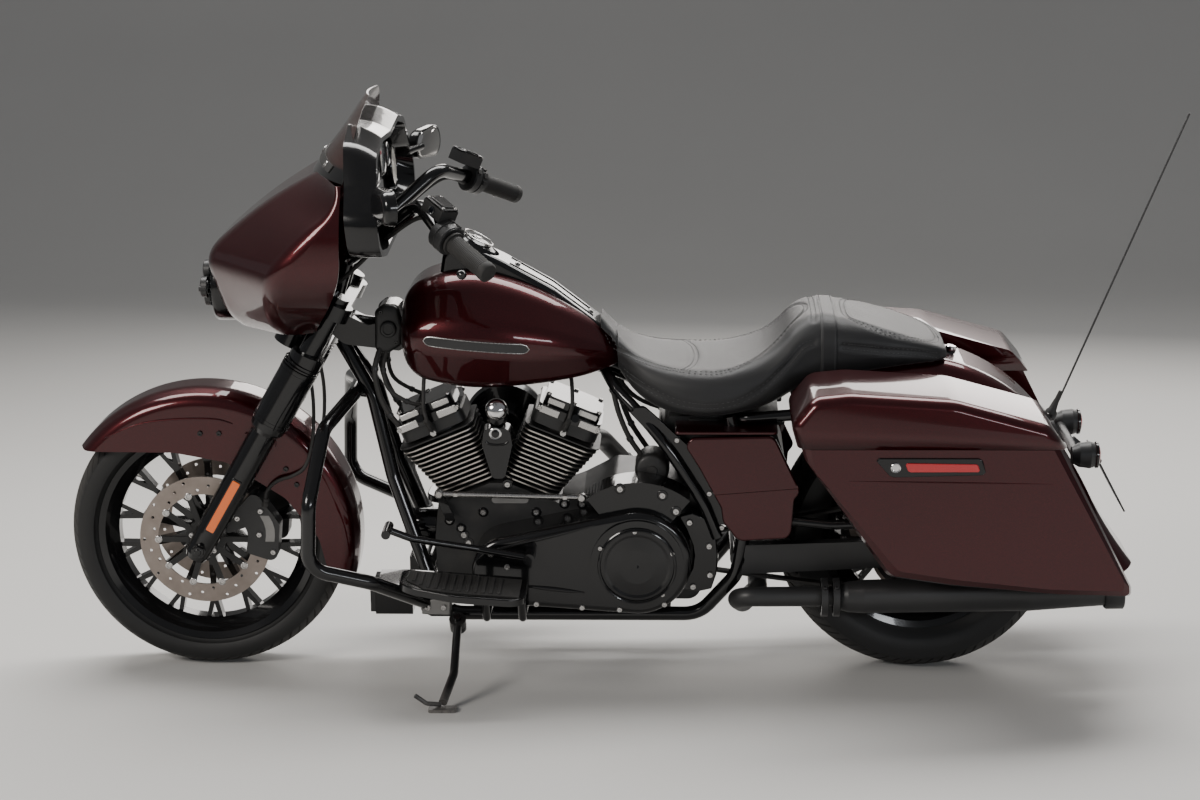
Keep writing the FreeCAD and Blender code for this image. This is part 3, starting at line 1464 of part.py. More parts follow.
def shift_rod():
    """Linkage from the front lever to the gear case, with a boss at each end."""
    face = -(d.case_half_width + d.seat_fit)
    pieces = [rod((543, -117, 442), (864, -117, 434), 5)]
    # lever: top x, top z, foot x, foot z
    for top_x, top_z, foot_x, foot_z in ((543, 442, 566, 388), (864, 434, 884, 425)):
        lever = hull_of_circles(V(top_x, -112, top_z), 8, V(foot_x, -112, foot_z), 9.5)
        pieces.append(Part.Face(lever).extrude(V(0, -10, 0)))
        pieces.append(rod((foot_x, face, foot_z), (foot_x, -116, foot_z), 6))
    return fused(pieces)


def swingarm():
    """Box-section arms from the pivot to the rear axle, with the axle through them."""
    half = d.swingarm_half_spacing
    tall = 30
    pieces = []
    for side in (-1, 1):
        rows = [(d.pivot_x - 34, d.pivot_height, 24), (d.pivot_x, d.pivot_height + 34, 24),
                (d.wheelbase + 46, rear_axle.z + tall, 20), (d.wheelbase + 46, rear_axle.z - tall, 20),
                (d.pivot_x, d.pivot_height - 34, 24)]
        low, high = sorted((side * (half - 14), side * (half + 14)))
        arm = slab(rows, low, high)
        pieces.append(arm)
    cross_x = d.pivot_x + 52
    pieces.append(rod((cross_x, -half, d.pivot_height), (cross_x, half, d.pivot_height), 20))
    arms = fused(pieces)
    pin = Part.makeCylinder(d.pivot_radius + d.seat_fit, 400, V(d.pivot_x, -200, d.pivot_height), Y_AXIS)
    arms = arms.cut(pin)
    arms = arms.cut(Part.makeCylinder(d.axle_radius + d.seat_fit, 400, rear_axle - Y_AXIS * 200, Y_AXIS))
    uprights = [cradle_tube(side, d.seat_fit) for side in (-1, 1)]
    arms = biggest(arms.cut(Part.makeCompound(uprights)))
    return feature("swingarm", Part.makeCompound([arms, rear_axle_rod()]))


def rear_axle_rod():
    half = d.swingarm_half_spacing + 14
    pieces = [Part.makeCylinder(d.axle_radius, 2 * half + 4, rear_axle - Y_AXIS * (half + 2), Y_AXIS)]
    for side in (-1, 1):
        face = rear_axle + Y_AXIS * (side * (half + d.seat_fit))
        pieces.append(Part.makeCylinder(d.rear_axle_nut_radius, 12, face, Y_AXIS * side))
    return fused(pieces)


def shocks():
    """Two shock absorbers between the seat rails and the swingarm."""
    pieces = []
    for side in (-1, 1):
        top = V(1390, side * 182, 610)
        foot = V(1530, side * 182, 352)
        line = foot - top
        cover = line.Length * 0.62
        body = turned([(0, 0), (0, 14), (30, 14), (30, 30), (cover, 30), (cover, 20), (line.Length, 20),
                       (line.Length, 0)], top, line)
        eye_top = Part.makeCylinder(17, 44, V(top.x, side * (151 + d.seat_fit), top.z), Y_AXIS * side)
        eye_foot = Part.makeCylinder(17, 44, V(foot.x, side * (156 + d.seat_fit), foot.z), Y_AXIS * side)
        rails = [seat_rail(side, d.seat_fit), bag_rail(side, d.seat_fit)]
        pieces.append(biggest(fused([body, eye_top, eye_foot]).cut(Part.makeCompound(rails))))
    return feature("shock_absorbers", Part.makeCompound(pieces))


def rear_lights():
    """Cross bar behind the fender with two signals, and the blank plate bracket."""
    bar = rod((1962, -118, 536), (1962, 118, 536), 11)
    pieces = [bar]
    for side in (-1, 1):
        pieces.append(turned([(-26, 0), (-26, 18), (-10, 27), (14, 30), (26, 26), (30, 0)],
                             V(1976, side * 132, 540), X_AXIS))
    stem = rod((1970, 0, 536), (2034, 0, 480), 10)
    bracket = block(-4, 0, -92, 92, -64, 64)
    bracket.rotate(V(0, 0, 0), Y_AXIS, -28)
    bracket.translate(V(2052, 0, 452))
    holes = []
    for side in (-1, 1):
        hole = Part.makeCylinder(d.plate_hole_radius, 30, V(-15, side * d.plate_hole_pitch / 2, 44), X_AXIS)
        hole.rotate(V(0, 0, 0), Y_AXIS, -28)
        hole.translate(V(2052, 0, 452))
        holes.append(hole)
    whole = fused(pieces + [stem, bracket]).cut(Part.makeCompound(holes))
    whole = whole.cut(fender_solid(d.seat_fit))
    return feature("rear_lights", Part.makeCompound(whole.Solids + [antenna()]))


def antenna():
    """Thin radio whip behind the left bag."""
    mast = rod((1900, -140, 628), (2166, -140, 1300), 2.2)
    base = rod((1896, -140, 616), (1906, -140, 640), 9)
    stay = rod((1762, -138, 600), (1896, -140, 622), 8)
    return fused([mast, base, stay])


def belt_hull(grow, width):
    """Hull round both belt pulleys, grown and centred on the belt's line."""
    y = -(d.rear_tyre_width / 2 + 21 + width / 2)
    front = V(d.sprocket_x, y, d.clutch_height)
    rear = V(rear_axle.x, y, rear_axle.z)
    outline = hull_of_circles(front, d.sprocket_radius + d.belt_gap + grow,
                              rear, d.pulley_radius + d.belt_gap + grow)
    return Part.Face(outline).extrude(V(0, width, 0))


def belt_room():
    return belt_hull(2 * d.belt_thickness, d.belt_width + 14)


def drive_belt():
    """Belt from the gear case to the rear pulley, held just clear of both."""
    outside = belt_hull(d.belt_thickness, d.belt_width)
    return feature("drive_belt", outside.cut(belt_hull(0, d.belt_width)))


def rear_caliper():
    """Rear caliper on the right arm with a slot round the disc."""
    slot = Part.makeCylinder(d.disc_radius + 2, d.disc_thickness + 3,
                             V(0, d.rear_disc_middle - (d.disc_thickness + 3) / 2, 0), Y_AXIS)
    outline = rounded_wire([
        (polar(36, 100), 12), (polar(34, 172), 18), (polar(62, 178), 20), (polar(88, 172), 18),
        (polar(88, 100), 12),
    ])
    body = Part.Face(outline).extrude(V(0, 46, 0))
    body.translate(V(0, 80, 0))
    lug = Part.Face(rounded_wire([
        (polar(30, 40), 6), (polar(44, 120), 6), (polar(80, 120), 6), (polar(110, 40), 6),
    ])).extrude(V(0, 12, 0))
    lug.translate(V(0, 115.7, 0))
    whole = body.fuse(lug).removeSplitter().cut(slot)
    whole.translate(rear_axle)
    return feature("rear_caliper", biggest(whole))


def stand_ground():
    """Foot centre in the design frame: a point on the leaned road."""
    return V(d.stand_x - d.stand_ahead, -d.stand_foot_half, d.stand_foot_half * tangent(d.lean_angle))


def side_stand():
    """Bent leg with a flat foot that lies on the road, and a short kick tab."""
    pivot = V(d.stand_x, -d.stand_pivot_half, d.stand_pivot_height)
    ground = stand_ground()
    drop = (d.front_crown_radius + d.rear_crown_radius) / 2
    sunk = drop * (1 - math.cos(math.radians(d.lean_angle)))
    road_up = V(0, math.sin(math.radians(d.lean_angle)), math.cos(math.radians(d.lean_angle)))
    foot = Part.makeBox(62, 36, 7, V(-31, -18, 0))
    foot = rounded(foot, 10, lambda edge: abs(edge.CenterOfMass.z - 3.5) < 1e-3)
    foot.rotate(V(0, 0, 0), X_AXIS, -d.lean_angle)
    foot.translate(ground - road_up * sunk)
    knee = pivot + (ground - pivot) * 0.62 + V(12, 0, 6)
    leg = tube([tuple(pivot), tuple(knee), tuple(ground + V(0, 8, 16))], 9.5, 60)
    axis = stand_axis()
    head = Part.makeCylinder(19, 20, pivot - axis * 10, axis)
    tab_route = [tuple(ground + V(-6, 12, 10)), tuple(ground + V(-34, -8, 20)),
                 tuple(ground + V(-58, -12, 40))]
    tab = tube(tab_route, 5, 14)
    whole = fused([leg, foot, head, tab])
    hole = Part.makeCylinder(d.stand_pin_radius + d.bore_gap, 60, pivot - axis * 30, axis)
    return feature("side_stand", biggest(whole.cut(hole)))


def stand_axis():
    """Direction of the stand's pivot, square to its leg and to the machine's length."""
    leg = stand_ground() - V(d.stand_x, -d.stand_pivot_half, d.stand_pivot_height)
    return V(0, leg.z, -leg.y).normalize()


def stand_bracket():
    """Lug on the left lower rail with the pivot pin of the side stand."""
    pivot = V(d.stand_x, -d.stand_pivot_half, d.stand_pivot_height)
    axis = stand_axis()
    pin = Part.makeCylinder(d.stand_pin_radius, 40, pivot - axis * 22, axis)
    seat = Part.makeCylinder(19, 11, pivot - axis * 22, axis)
    arm = rod(pivot - axis * 18, (d.stand_x, -d.cradle_half_width, d.cradle_height), 8)
    return fused([pin, seat, arm])


def park():
    """Lean every node and set the origin at the middle of the bottom."""
    lean = FreeCAD.Placement(V(0, 0, 0), FreeCAD.Rotation(X_AXIS, d.lean_angle))
    low = V(1e9, 1e9, 1e9)
    high = low * -1
    doc.recompute()
    for item, place in nodes:
        shape = item.Shape.copy()
        shape.Placement = lean.multiply(place)
        box = shape.optimalBoundingBox(False, False)
        low = V(min(low.x, box.XMin), min(low.y, box.YMin), min(low.z, box.ZMin))
        high = V(max(high.x, box.XMax), max(high.y, box.YMax), max(high.z, box.ZMax))
    shift = FreeCAD.Placement(V(-(low.x + high.x) / 2, -(low.y + high.y) / 2, -low.z), FreeCAD.Rotation())
    parking = shift.multiply(lean)
    for item, place in nodes:
        item.Placement = parking.multiply(place)
    doc.recompute()
    print("parking shift", shift.Base, "size", high - low)


def build():
    tyre("front_tyre", at(front_axle), "front_tyre_radius", "front_tyre_width", "front_rim_radius",
         "front_crown_radius")
    cast_wheel("front_wheel", at(front_axle), "front_rim_radius", "front_tyre_width", "Sizes.hub_width / 2")
    front_discs()
    tyre("rear_tyre", at(rear_axle), "rear_tyre_radius", "rear_tyre_width", "rear_rim_radius",
         "rear_crown_radius")
    cast_wheel("rear_wheel", at(rear_axle), "rear_rim_radius", "rear_tyre_width", "Sizes.rear_hub_half")
    rear_disc_and_pulley()
    for maker in (
        forks, triple_clamps, handlebar, grips, hand_controls, mirrors, fairing, inner_fairing,
        windshield, headlight, front_fender, front_calipers, frame, engine_case, cylinders, rocker_boxes,
        primary_cover, derby_cover, cam_cover, air_cleaner, horn_cover, exhaust, fuel_tank, tank_console,
        fuel_door, seat, rear_fender, side_covers, bags, engine_guard, floorboards, foot_controls, swingarm,
        shocks, rear_lights, drive_belt, rear_caliper, side_stand,
    ):
        maker()


def write_parts():
    os.makedirs("parts", exist_ok=True)
    for item in doc.Objects:
        if "Invalid" in item.State or "Error" in item.State:
            raise RuntimeError("%s failed: %s" % (item.Label, item.State))
    for item, _ in nodes:
        if item.Shape.isNull() or not item.Shape.isValid():
            raise RuntimeError("%s has no valid shape" % item.Label)
        item.Shape.exportStep("parts/%s.step" % item.Label)


build()
park()
write_parts()
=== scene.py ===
import json
import math

import bmesh
import bpy
from bpy.props import FloatProperty, FloatVectorProperty, IntProperty, PointerProperty
from mathutils import Matrix, Vector
from mathutils.bvhtree import BVHTree
from mathutils.kdtree import KDTree


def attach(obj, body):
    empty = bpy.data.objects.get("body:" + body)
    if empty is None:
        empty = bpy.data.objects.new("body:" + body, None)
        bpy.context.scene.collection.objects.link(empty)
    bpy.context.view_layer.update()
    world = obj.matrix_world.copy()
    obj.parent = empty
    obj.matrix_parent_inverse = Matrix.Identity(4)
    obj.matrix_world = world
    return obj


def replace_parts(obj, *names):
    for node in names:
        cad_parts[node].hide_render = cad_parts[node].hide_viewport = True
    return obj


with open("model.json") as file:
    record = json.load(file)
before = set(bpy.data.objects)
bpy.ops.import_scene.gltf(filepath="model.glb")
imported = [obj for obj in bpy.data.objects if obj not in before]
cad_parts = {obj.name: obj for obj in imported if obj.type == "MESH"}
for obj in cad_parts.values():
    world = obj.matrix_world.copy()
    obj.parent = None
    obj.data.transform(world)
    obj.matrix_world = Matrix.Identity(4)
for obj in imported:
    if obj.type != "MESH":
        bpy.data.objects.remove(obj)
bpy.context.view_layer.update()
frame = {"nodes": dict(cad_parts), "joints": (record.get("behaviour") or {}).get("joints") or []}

# Looks of the touring cruiser. Pieces are laid out in the upright frame of the machine, in
# millimetres: forward -X, left -Y, up +Z, x = 0 at the front axle and the road at z = 0.
# PARKED takes that frame to the frame of the solids, which is leaned and in metres.

bl_info = {
    "name": "Touring cruiser looks",
    "version": (1, 0, 0),
    "blender": (4, 5, 0),
    "location": "View3D > Sidebar > Cruiser",
    "description": "Finishes and fine pieces of a touring cruiser motorcycle",
    "category": "Object",
}

LEAN = math.radians(6)
JOINTS = {joint["name"]: joint for joint in frame["joints"]}
FRONT_RADIUS = 319.0
REAR_RADIUS = 320.0
WHEELBASE = 1625.0
LEANED = Matrix.Rotation(LEAN, 4, "X")
SHIFT = Vector(JOINTS["front_wheel_spin"]["pos_m"]) - LEANED @ Vector((0, 0, FRONT_RADIUS / 1000))
PARKED = Matrix.Translation(SHIFT) @ LEANED @ Matrix.Scale(0.001, 4)
UPRIGHT = PARKED.inverted()

CHASSIS = "chassis"
STEERING = "steering"
FRONT_WHEEL = "front_wheel_body"
REAR_WHEEL = "rear_wheel_body"
LEFT_LID = "bag_lid_left_body"
RIGHT_LID = "bag_lid_right_body"

X_AXIS = Vector((1, 0, 0))
Y_AXIS = Vector((0, 1, 0))
Z_AXIS = Vector((0, 0, 1))
LEFT = Vector((0, -1, 0))
DOWN = Vector((0, 0, -1))
# Where rays start: clear of the machine on its left, right and upper side, and over single pieces
FAR_LEFT = -700
FAR_RIGHT = 700
FAR_UP = 1200
ABOVE_SEAT = 1100
ABOVE_FENDER = 1000
ABOVE_BOARD = 600
FORK = math.radians(30.2)
FORK_UP = Vector((math.sin(FORK), 0, math.cos(FORK)))
FRONT_AXLE = Vector((0, 0, FRONT_RADIUS))
REAR_AXLE = Vector((WHEELBASE, 0, REAR_RADIUS))
# Middle of the crankshaft, and how far each cylinder leans from the vertical
CRANK = Vector((677, 0, 245))
CYLINDER_LEAN = math.radians(22.5)


def size(name, description, default):
    return FloatProperty(name=name, description=description, default=default)


def colour(name, description, *channels):
    return FloatVectorProperty(
        name=name, description=description, subtype="COLOR", size=4, default=channels + (1,))


class CruiserSizes(bpy.types.PropertyGroup):
    """Sizes of the fine pieces."""

    tread_depth: size("Tread depth", "Depth of the tyre grooves, mm", 4.5)
    tread_pitch: size("Tread pitch", "Groove to groove round the tyre, mm", 58.0)
    bolt_radius: size("Bolt head radius", "Cover screws, mm", 6.2)
    stitch_pitch: size("Stitch pitch", "Stitch to stitch on the seat, mm", 6.5)
    stitch_length: size("Stitch length", "One stitch on the seat, mm", 4.4)
    seam_depth: size("Seam depth", "How far seat seams sink, mm", 3.4)
    pad_rib_pitch: size("Pad rib pitch", "Ribs of the floorboard pads, mm", 17.0)
    strip_length: size("Tank strip length", "Plain strip on the tank, mm", 232.0)
    lid_wall: size("Lid wall", "Wall of the bag lids, mm", 4.0)
    camera_lens: size("Lens", "Camera lens on a 36 mm sensor", 73.32)
    round_steps: IntProperty(name="Round steps", description="Sides of small round pieces", default=24)


class CruiserColours(bpy.types.PropertyGroup):
    """Colours of the finishes."""

    wine: colour("Paint", "Wine red metallic paint", 0.026, 0.0014, 0.0026)
    wine_flake: colour("Paint flake", "Bright flake in the paint", 0.115, 0.0085, 0.012)
    black: colour("Gloss black", "Gloss black powder coat", 0.0035, 0.0035, 0.004)
    satin: colour("Satin black", "Satin black coating", 0.010, 0.010, 0.0105)
    leather: colour("Seat cover", "Black seat cover", 0.0065, 0.0065, 0.0078)
    stitch: colour("Stitches", "Seat thread", 0.075, 0.075, 0.078)
    amber: colour("Amber", "Fork reflector", 0.90, 0.16, 0.012)
    red: colour("Red", "Bag reflector and rear lenses", 0.62, 0.008, 0.014)
    disc: colour("Disc steel", "Brake disc face", 0.36, 0.315, 0.285)
    floor: colour("Floor", "Pale floor", 0.62, 0.61, 0.59)


def operation(name, swapped=False):
    """An operator of Amount, which adds the Math node of that name."""
    def method(self, other=None):
        values = [self] if other is None else [self, other]
        return self.math(name, *(values[::-1] if swapped else values))
    return method


class Amount:
    """A node socket in Python arithmetic: each operator adds its Math node."""

    def __init__(self, finish, socket):
        self.finish = finish
        self.socket = socket

    def math(self, operation, *values):
        return self.finish.node("ShaderNodeMath", {"operation": operation}, dict(enumerate(values)))

    __add__ = operation("ADD")
    __radd__ = operation("ADD", swapped=True)
    __sub__ = operation("SUBTRACT")
    __rsub__ = operation("SUBTRACT", swapped=True)
    __mul__ = operation("MULTIPLY")
    __rmul__ = operation("MULTIPLY", swapped=True)
    __pow__ = operation("POWER")
    __abs__ = operation("ABSOLUTE")
    __gt__ = operation("GREATER_THAN")
    __lt__ = operation("LESS_THAN")
    wave = operation("SINE")

    def clamped(self):
        return self.math("MAXIMUM", self.math("MINIMUM", self, 1.0), 0.0)


class Finish:
    """One material: its surface shader and the nodes that vary it."""

    def __init__(self, name, **surface):
        self.material = bpy.data.materials.new(name)
        self.material.use_nodes = True
        self.tree = self.material.node_tree
        self.shader = self.tree.nodes["Principled BSDF"]
        self.surface(**surface)

    def node(self, kind, settings=None, values=None, output=0):
        made = self.tree.nodes.new(kind)
        for key, value in (settings or {}).items():
            setattr(made, key, value)
        for key, value in (values or {}).items():
            self.feed(made.inputs[key], value)
        return Amount(self, made.outputs[output])

    def feed(self, socket, value):
        if isinstance(value, Amount):
            self.tree.links.new(value.socket, socket)
        else:
            socket.default_value = value

    def surface(self, **values):
        for key, value in values.items():
            self.feed(self.shader.inputs[key.replace("_", " ")], value)
        return self

    def place(self):
        """The point in the upright frame, in metres."""
        turned = Matrix.Rotation(-LEAN, 3, "X") @ SHIFT
        where = self.node("ShaderNodeTexCoord", output="Object")
        return self.node("ShaderNodeMapping", None, {
            "Vector": where, "Rotation": (-LEAN, 0, 0), "Location": tuple(-turned)})

    def parts(self, vector):
        split = self.node("ShaderNodeSeparateXYZ", None, {0: vector}).socket.node
        return [Amount(self, split.outputs[index]) for index in range(3)]

    def facing(self):
        """The surface's outward direction in the upright frame."""
        normal = self.node("ShaderNodeNewGeometry", output="Normal")
        return self.node("ShaderNodeVectorRotate", {"rotation_type": "X_AXIS"}, {
            "Vector": normal, "Angle": -LEAN})

    def from_axle(self):
        """Distance from the nearer wheel's axle, in metres."""
        along, _, up = self.parts(self.place())
        between_wheels = 0.8
        dx = along - (1 - (along < between_wheels)) * (WHEELBASE / 1000)
        dz = up - FRONT_RADIUS / 1000
        return (dx * dx + dz * dz) ** 0.5

    def noise(self, scale, detail=2.0, where=None):
        return self.node("ShaderNodeTexNoise", None, {
            "Vector": where or self.place(), "Scale": scale, "Detail": detail, "Roughness": 0.5})

    def cells(self, scale, feature="F1", output="Distance"):
        return self.node("ShaderNodeTexVoronoi", {"feature": feature}, {
            "Vector": self.place(), "Scale": scale}, output)

    def blend(self, factor, first, second):
        return self.node("ShaderNodeMix", {"data_type": "RGBA"}, {0: factor, 6: first, 7: second}, 2)

    def bump(self, height, distance, strength):
        return self.node("ShaderNodeBump", None, {
            "Height": height, "Distance": distance, "Strength": strength})


def rgba(*channels):
    """A colour from one grey level, three channels or a name among the colour properties."""
    if isinstance(channels[0], str):
        return tuple(getattr(bpy.context.scene.cruiser_colours, channels[0]))
    return (channels * 3 if len(channels) == 1 else channels) + (1,)


def darker(shade, share):
    return tuple(channel * share for channel in shade[:3]) + (1,)


def sizes():
    return bpy.context.scene.cruiser_sizes


# Finishes of one pattern. name: record slot, shader settings, two colours, then scale, detail and amount of
# the noise that mixes them, base and amount of the roughness with scale and detail of its noise, and scale
# and detail of the grain with distance and strength of its bump. A grain without detail is made of cells.
PLAIN = {
    "satin_black": ("satin_black", {"Coat_Weight": 0.12, "Coat_Roughness": 0.3}, ("satin",), (0.045,),
                    (12, 4, 0.35), (0.36, 0.18, 12, 4), (900, 2, 0.00008, 0.5)),
    "bright_steel": ("bright_steel", {"Metallic": 1.0}, (0.62, 0.61, 0.60), (0.46, 0.445, 0.43),
                     (30, 4, 1), (0.20, 0.14, 480, 3), (480, 3, 0.00004, 0.3)),
    "chrome": ("chrome", {"Metallic": 1.0}, (0.80, 0.80, 0.80), (0.70, 0.69, 0.68),
               (15, 3, 1), (0.05, 0.08, 40, 4), None),
    "lamp_metal": ("chrome", {"Metallic": 1.0}, (0.86, 0.87, 0.90), (0.62, 0.63, 0.66),
                   (60, 2, 1), (0.10, 0.08, 50, 2), None),
    "mirror_glass": ("chrome", {"Metallic": 1.0}, (0.80, 0.78, 0.75), (0.74, 0.72, 0.70),
                     (6, 2, 1), (0.02, 0.03, 12, 2), None),
    "dark_glass": ("smoked_screen", {"Coat_Weight": 1.0, "Coat_Roughness": 0.01}, (0.004,),
                   (0.010, 0.012, 0.018), (4, 2, 1), (0.04, 0.05, 14, 3), None),
    "moulded_rubber": ("rubber", {"Specular_IOR_Level": 0.4}, (0.012,), (0.060, 0.056, 0.052),
                       (30, 5, 0.55), (0.55, 0.2, 30, 5), (650, 3, 0.00012, 0.5)),
    "moulded_plastic": ("black_plastic", {"Specular_IOR_Level": 0.5}, (0.010,), (0.026,),
                        (10, 3, 0.5), (0.34, 0.14, 20, 3), (1400, None, 0.00007, 0.4)),
    "cast_grey": ("bright_steel", {"Metallic": 0.85}, (0.34, 0.335, 0.325), (0.20, 0.195, 0.19),
                  (20, 4, 1), (0.42, 0.15, 750, 3), (750, 3, 0.0001, 0.5)),
    "soot": ("satin_black", {"Specular_IOR_Level": 0.1}, (0.0015,), (0.009,),
             (240, 4, 1), (0.8, 0.15, 240, 4), (240, 4, 0.0003, 0.6)),
}
# Material of each finish once made, function of each that PLAIN does not hold, record slot of each
MADE = {}
FINISHES = {}
SLOT_OF = {name: row[0] for name, row in PLAIN.items()}


def plain_finish(name):
    """A finish of the table above."""
    _, settings, first, second, (scale, detail, amount), (base, rise, *rough), grain = PLAIN[name]
    finish = Finish(name, **settings)
    mix = finish.noise(scale, detail)
    if amount != 1:
        mix = mix * amount
    finish.surface(
        Base_Color=finish.blend(mix, rgba(*first), rgba(*second)),
        Roughness=base + rise * finish.noise(*rough))
    if grain:
        scale, detail, distance, strength = grain
        height = finish.noise(scale, detail) if detail else finish.cells(scale)
        finish.surface(Normal=finish.bump(height, distance, strength))
    return finish


def finish_for(slot):
    """Lists a function that makes a finish, with its record slot."""
    def listed(make):
        FINISHES[make.__name__] = make
        SLOT_OF[make.__name__] = slot
        return make
    return listed


def finish_named(name):
    """A finish, made the first time that it is asked for."""
    if name not in MADE:
        MADE[name] = (plain_finish(name) if name in PLAIN else FINISHES[name]()).material
    return MADE[name]


@finish_for("wine_paint")
def wine_paint():
    """Metallic wine red under clear coat, with flake and faint orange peel."""
    finish = Finish(
        "wine_paint", Metallic=0.72, Coat_Weight=1.0, Coat_Roughness=0.02, Coat_IOR=1.42, IOR=1.35)
    sparkle = finish.parts(finish.cells(1500, output="Color"))[0] ** 3.0
    tone = (sparkle * 0.50 + finish.noise(2.2, 3) * 0.22).clamped()
    return finish.surface(
        Base_Color=finish.blend(tone, rgba("wine"), rgba("wine_flake")),
        Roughness=0.26 + 0.08 * finish.noise(6, 4),
        Normal=finish.bump(finish.noise(210, 2), 0.00006, 0.35))


@finish_for("gloss_black")
def gloss_black():
    """Gloss black powder coat with faint smears and a film of dust on upward faces."""
    finish = Finish("gloss_black", Coat_Weight=0.62, Coat_Roughness=0.04, Specular_IOR_Level=0.25)
    up = finish.parts(finish.facing())[2]
    dust = ((up - 0.2).clamped() * finish.noise(60, 3)) * 0.10
    return finish.surface(
        Base_Color=finish.blend(dust, rgba("black"), rgba(0.10, 0.09, 0.08)),
        Roughness=0.12 + 0.16 * finish.noise(9, 5),
        Normal=finish.bump(finish.noise(260, 2), 0.00006, 0.35))


@finish_for("engine_black")
def wrinkle_black():
    """Engine black with a fine wrinkled texture, dusty in its low places."""
    finish = Finish("wrinkle_black", Coat_Weight=0.2, Coat_Roughness=0.25)
    dust = (finish.noise(22, 4) - 0.45).clamped()
    return finish.surface(
        Base_Color=finish.blend(dust, rgba(0.013), rgba(0.062, 0.056, 0.050)),
        Roughness=0.38 + 0.22 * finish.noise(14, 3),
        Normal=finish.bump(finish.cells(950, "SMOOTH_F1"), 0.00030, 0.55))


@finish_for("engine_black")
def finned_black():
    """Black cylinders whose fin edges are machined bright."""
    finish = Finish("finned_black", Coat_Weight=0.15, Coat_Roughness=0.3)
    along, across, up = finish.parts(finish.place())
    nx, _, nz = finish.parts(finish.facing())
    sine, cosine = math.sin(CYLINDER_LEAN), math.cos(CYLINDER_LEAN)
    crank_x, crank_z = CRANK.x / 1000, CRANK.z / 1000
    # the barrels' inner half width and the height of their top along them, in metres
    inner, top = 0.063, 0.346
    # fore and aft part of the direction of the barrel that this half belongs to
    lean = (along < crank_x) * (-2 * sine) + sine
    edge = (abs(nx * lean + nz * cosine) < 0.25) * (abs(across) > inner)
    barrel = ((along - crank_x) * lean + (up - crank_z) * cosine) < top
    bright = edge * barrel
    return finish.surface(
        Base_Color=finish.blend(bright, rgba(0.011), rgba(0.50, 0.475, 0.44)),
        Metallic=bright, Roughness=0.45 - 0.17 * bright + 0.10 * finish.noise(700, 3),
        Normal=finish.bump(finish.cells(900, "SMOOTH_F1") * (1 - bright), 0.00025, 0.5))


@finish_for("disc_steel")
def disc_steel():
    """Brake disc: turning lines round the axle and a slightly brown, worn track."""
    finish = Finish("disc_steel", Metallic=0.92)
    track_edge = 0.1075
    reach = finish.from_axle()
    rings = (reach * 5200).wave()
    stain = finish.noise(35, 4)
    hub = reach < track_edge
    steel = finish.blend(stain, rgba("disc"), rgba(0.235, 0.195, 0.17))
    return finish.surface(
        Base_Color=finish.blend(hub, steel, rgba(0.010)),
        Metallic=0.92 - 0.85 * hub, Roughness=0.30 + 0.05 * rings + 0.12 * stain,
        Normal=finish.bump(rings * (1 - hub), 0.00003, 0.35))


@finish_for("tyre_rubber")
def tyre_rubber():
    """Tyre: darker wet-looking side wall with moulded lines, greyer worn tread."""
    finish = Finish("tyre_rubber", Specular_IOR_Level=0.45)
    tread_edge, lines_end = 0.296, 0.272
    reach = finish.from_axle()
    tread = ((reach - tread_edge) * 90).clamped()
    dust = finish.noise(45, 5)
    lines = ((reach * 2600).wave() > 0.55) * (reach < lines_end)
    return finish.surface(
        Base_Color=finish.blend(tread * (0.35 + 0.5 * dust), rgba(0.010), rgba(0.052, 0.048, 0.044)),
        Roughness=0.52 + 0.25 * tread + 0.10 * dust,
        Normal=finish.bump(finish.noise(800, 3) + lines * 0.8, 0.00012, 0.6))


@finish_for("seat_leather")
def seat_cover():
    """Black seat cover: fine grain in rounded cells and a soft sheen."""
    finish = Finish("seat_cover", Sheen_Weight=0.05, Sheen_Roughness=0.4, Specular_IOR_Level=0.42)
    fold = finish.noise(26, 4)
    wear = finish.noise(5, 3)
    grain = (finish.cells(620, "DISTANCE_TO_EDGE") * 9).clamped()
    return finish.surface(
        Base_Color=finish.blend(wear * 0.6 + 0.15 * fold, rgba("leather"), rgba(0.024)),
        Roughness=0.34 + 0.14 * wear + 0.05 * grain,
        Normal=finish.bump(grain * 0.7 + fold * 1.2, 0.00022, 0.55))


@finish_for("seat_leather")
def thread():
    """Twisted seat thread."""
    finish = Finish("thread", Roughness=0.75, Sheen_Weight=0.2)
    twist = (finish.parts(finish.place())[0] * 9000).wave()
    return finish.surface(
        Base_Color=finish.blend(twist * 0.5 + 0.5, rgba("stitch"), rgba(0.03)),
        Normal=finish.bump(twist, 0.0001, 0.4))


@finish_for("smoked_screen")
def smoked_screen():
    """Smoked screen: brown-black sheet that lets some light through, with a dark lower band."""
    finish = Finish("smoked_screen", IOR=1.49, Coat_Weight=1.0, Coat_Roughness=0.02)
    band_top = 1.212
    band = ((band_top - finish.parts(finish.place())[2]) * 120).clamped()
    return finish.surface(
        Base_Color=finish.blend(band, rgba(0.060, 0.030, 0.026), rgba(0.004)),
        Roughness=0.03 + 0.05 * finish.noise(8, 3),
        Alpha=0.62 + 0.36 * band)


@finish_for("lamp_glass")
def clear_lens():
    """Clear glass over lamps and gauges."""
    finish = Finish("clear_lens", IOR=1.49, Coat_Weight=1.0, Coat_Roughness=0.01)
    return finish.surface(
        Base_Color=finish.blend(finish.noise(18, 2), rgba(0.80, 0.84, 0.88), rgba(0.66, 0.71, 0.76)),
        Roughness=0.02 + 0.03 * finish.noise(12, 2),
        Alpha=0.26 + 0.05 * finish.noise(9, 2))


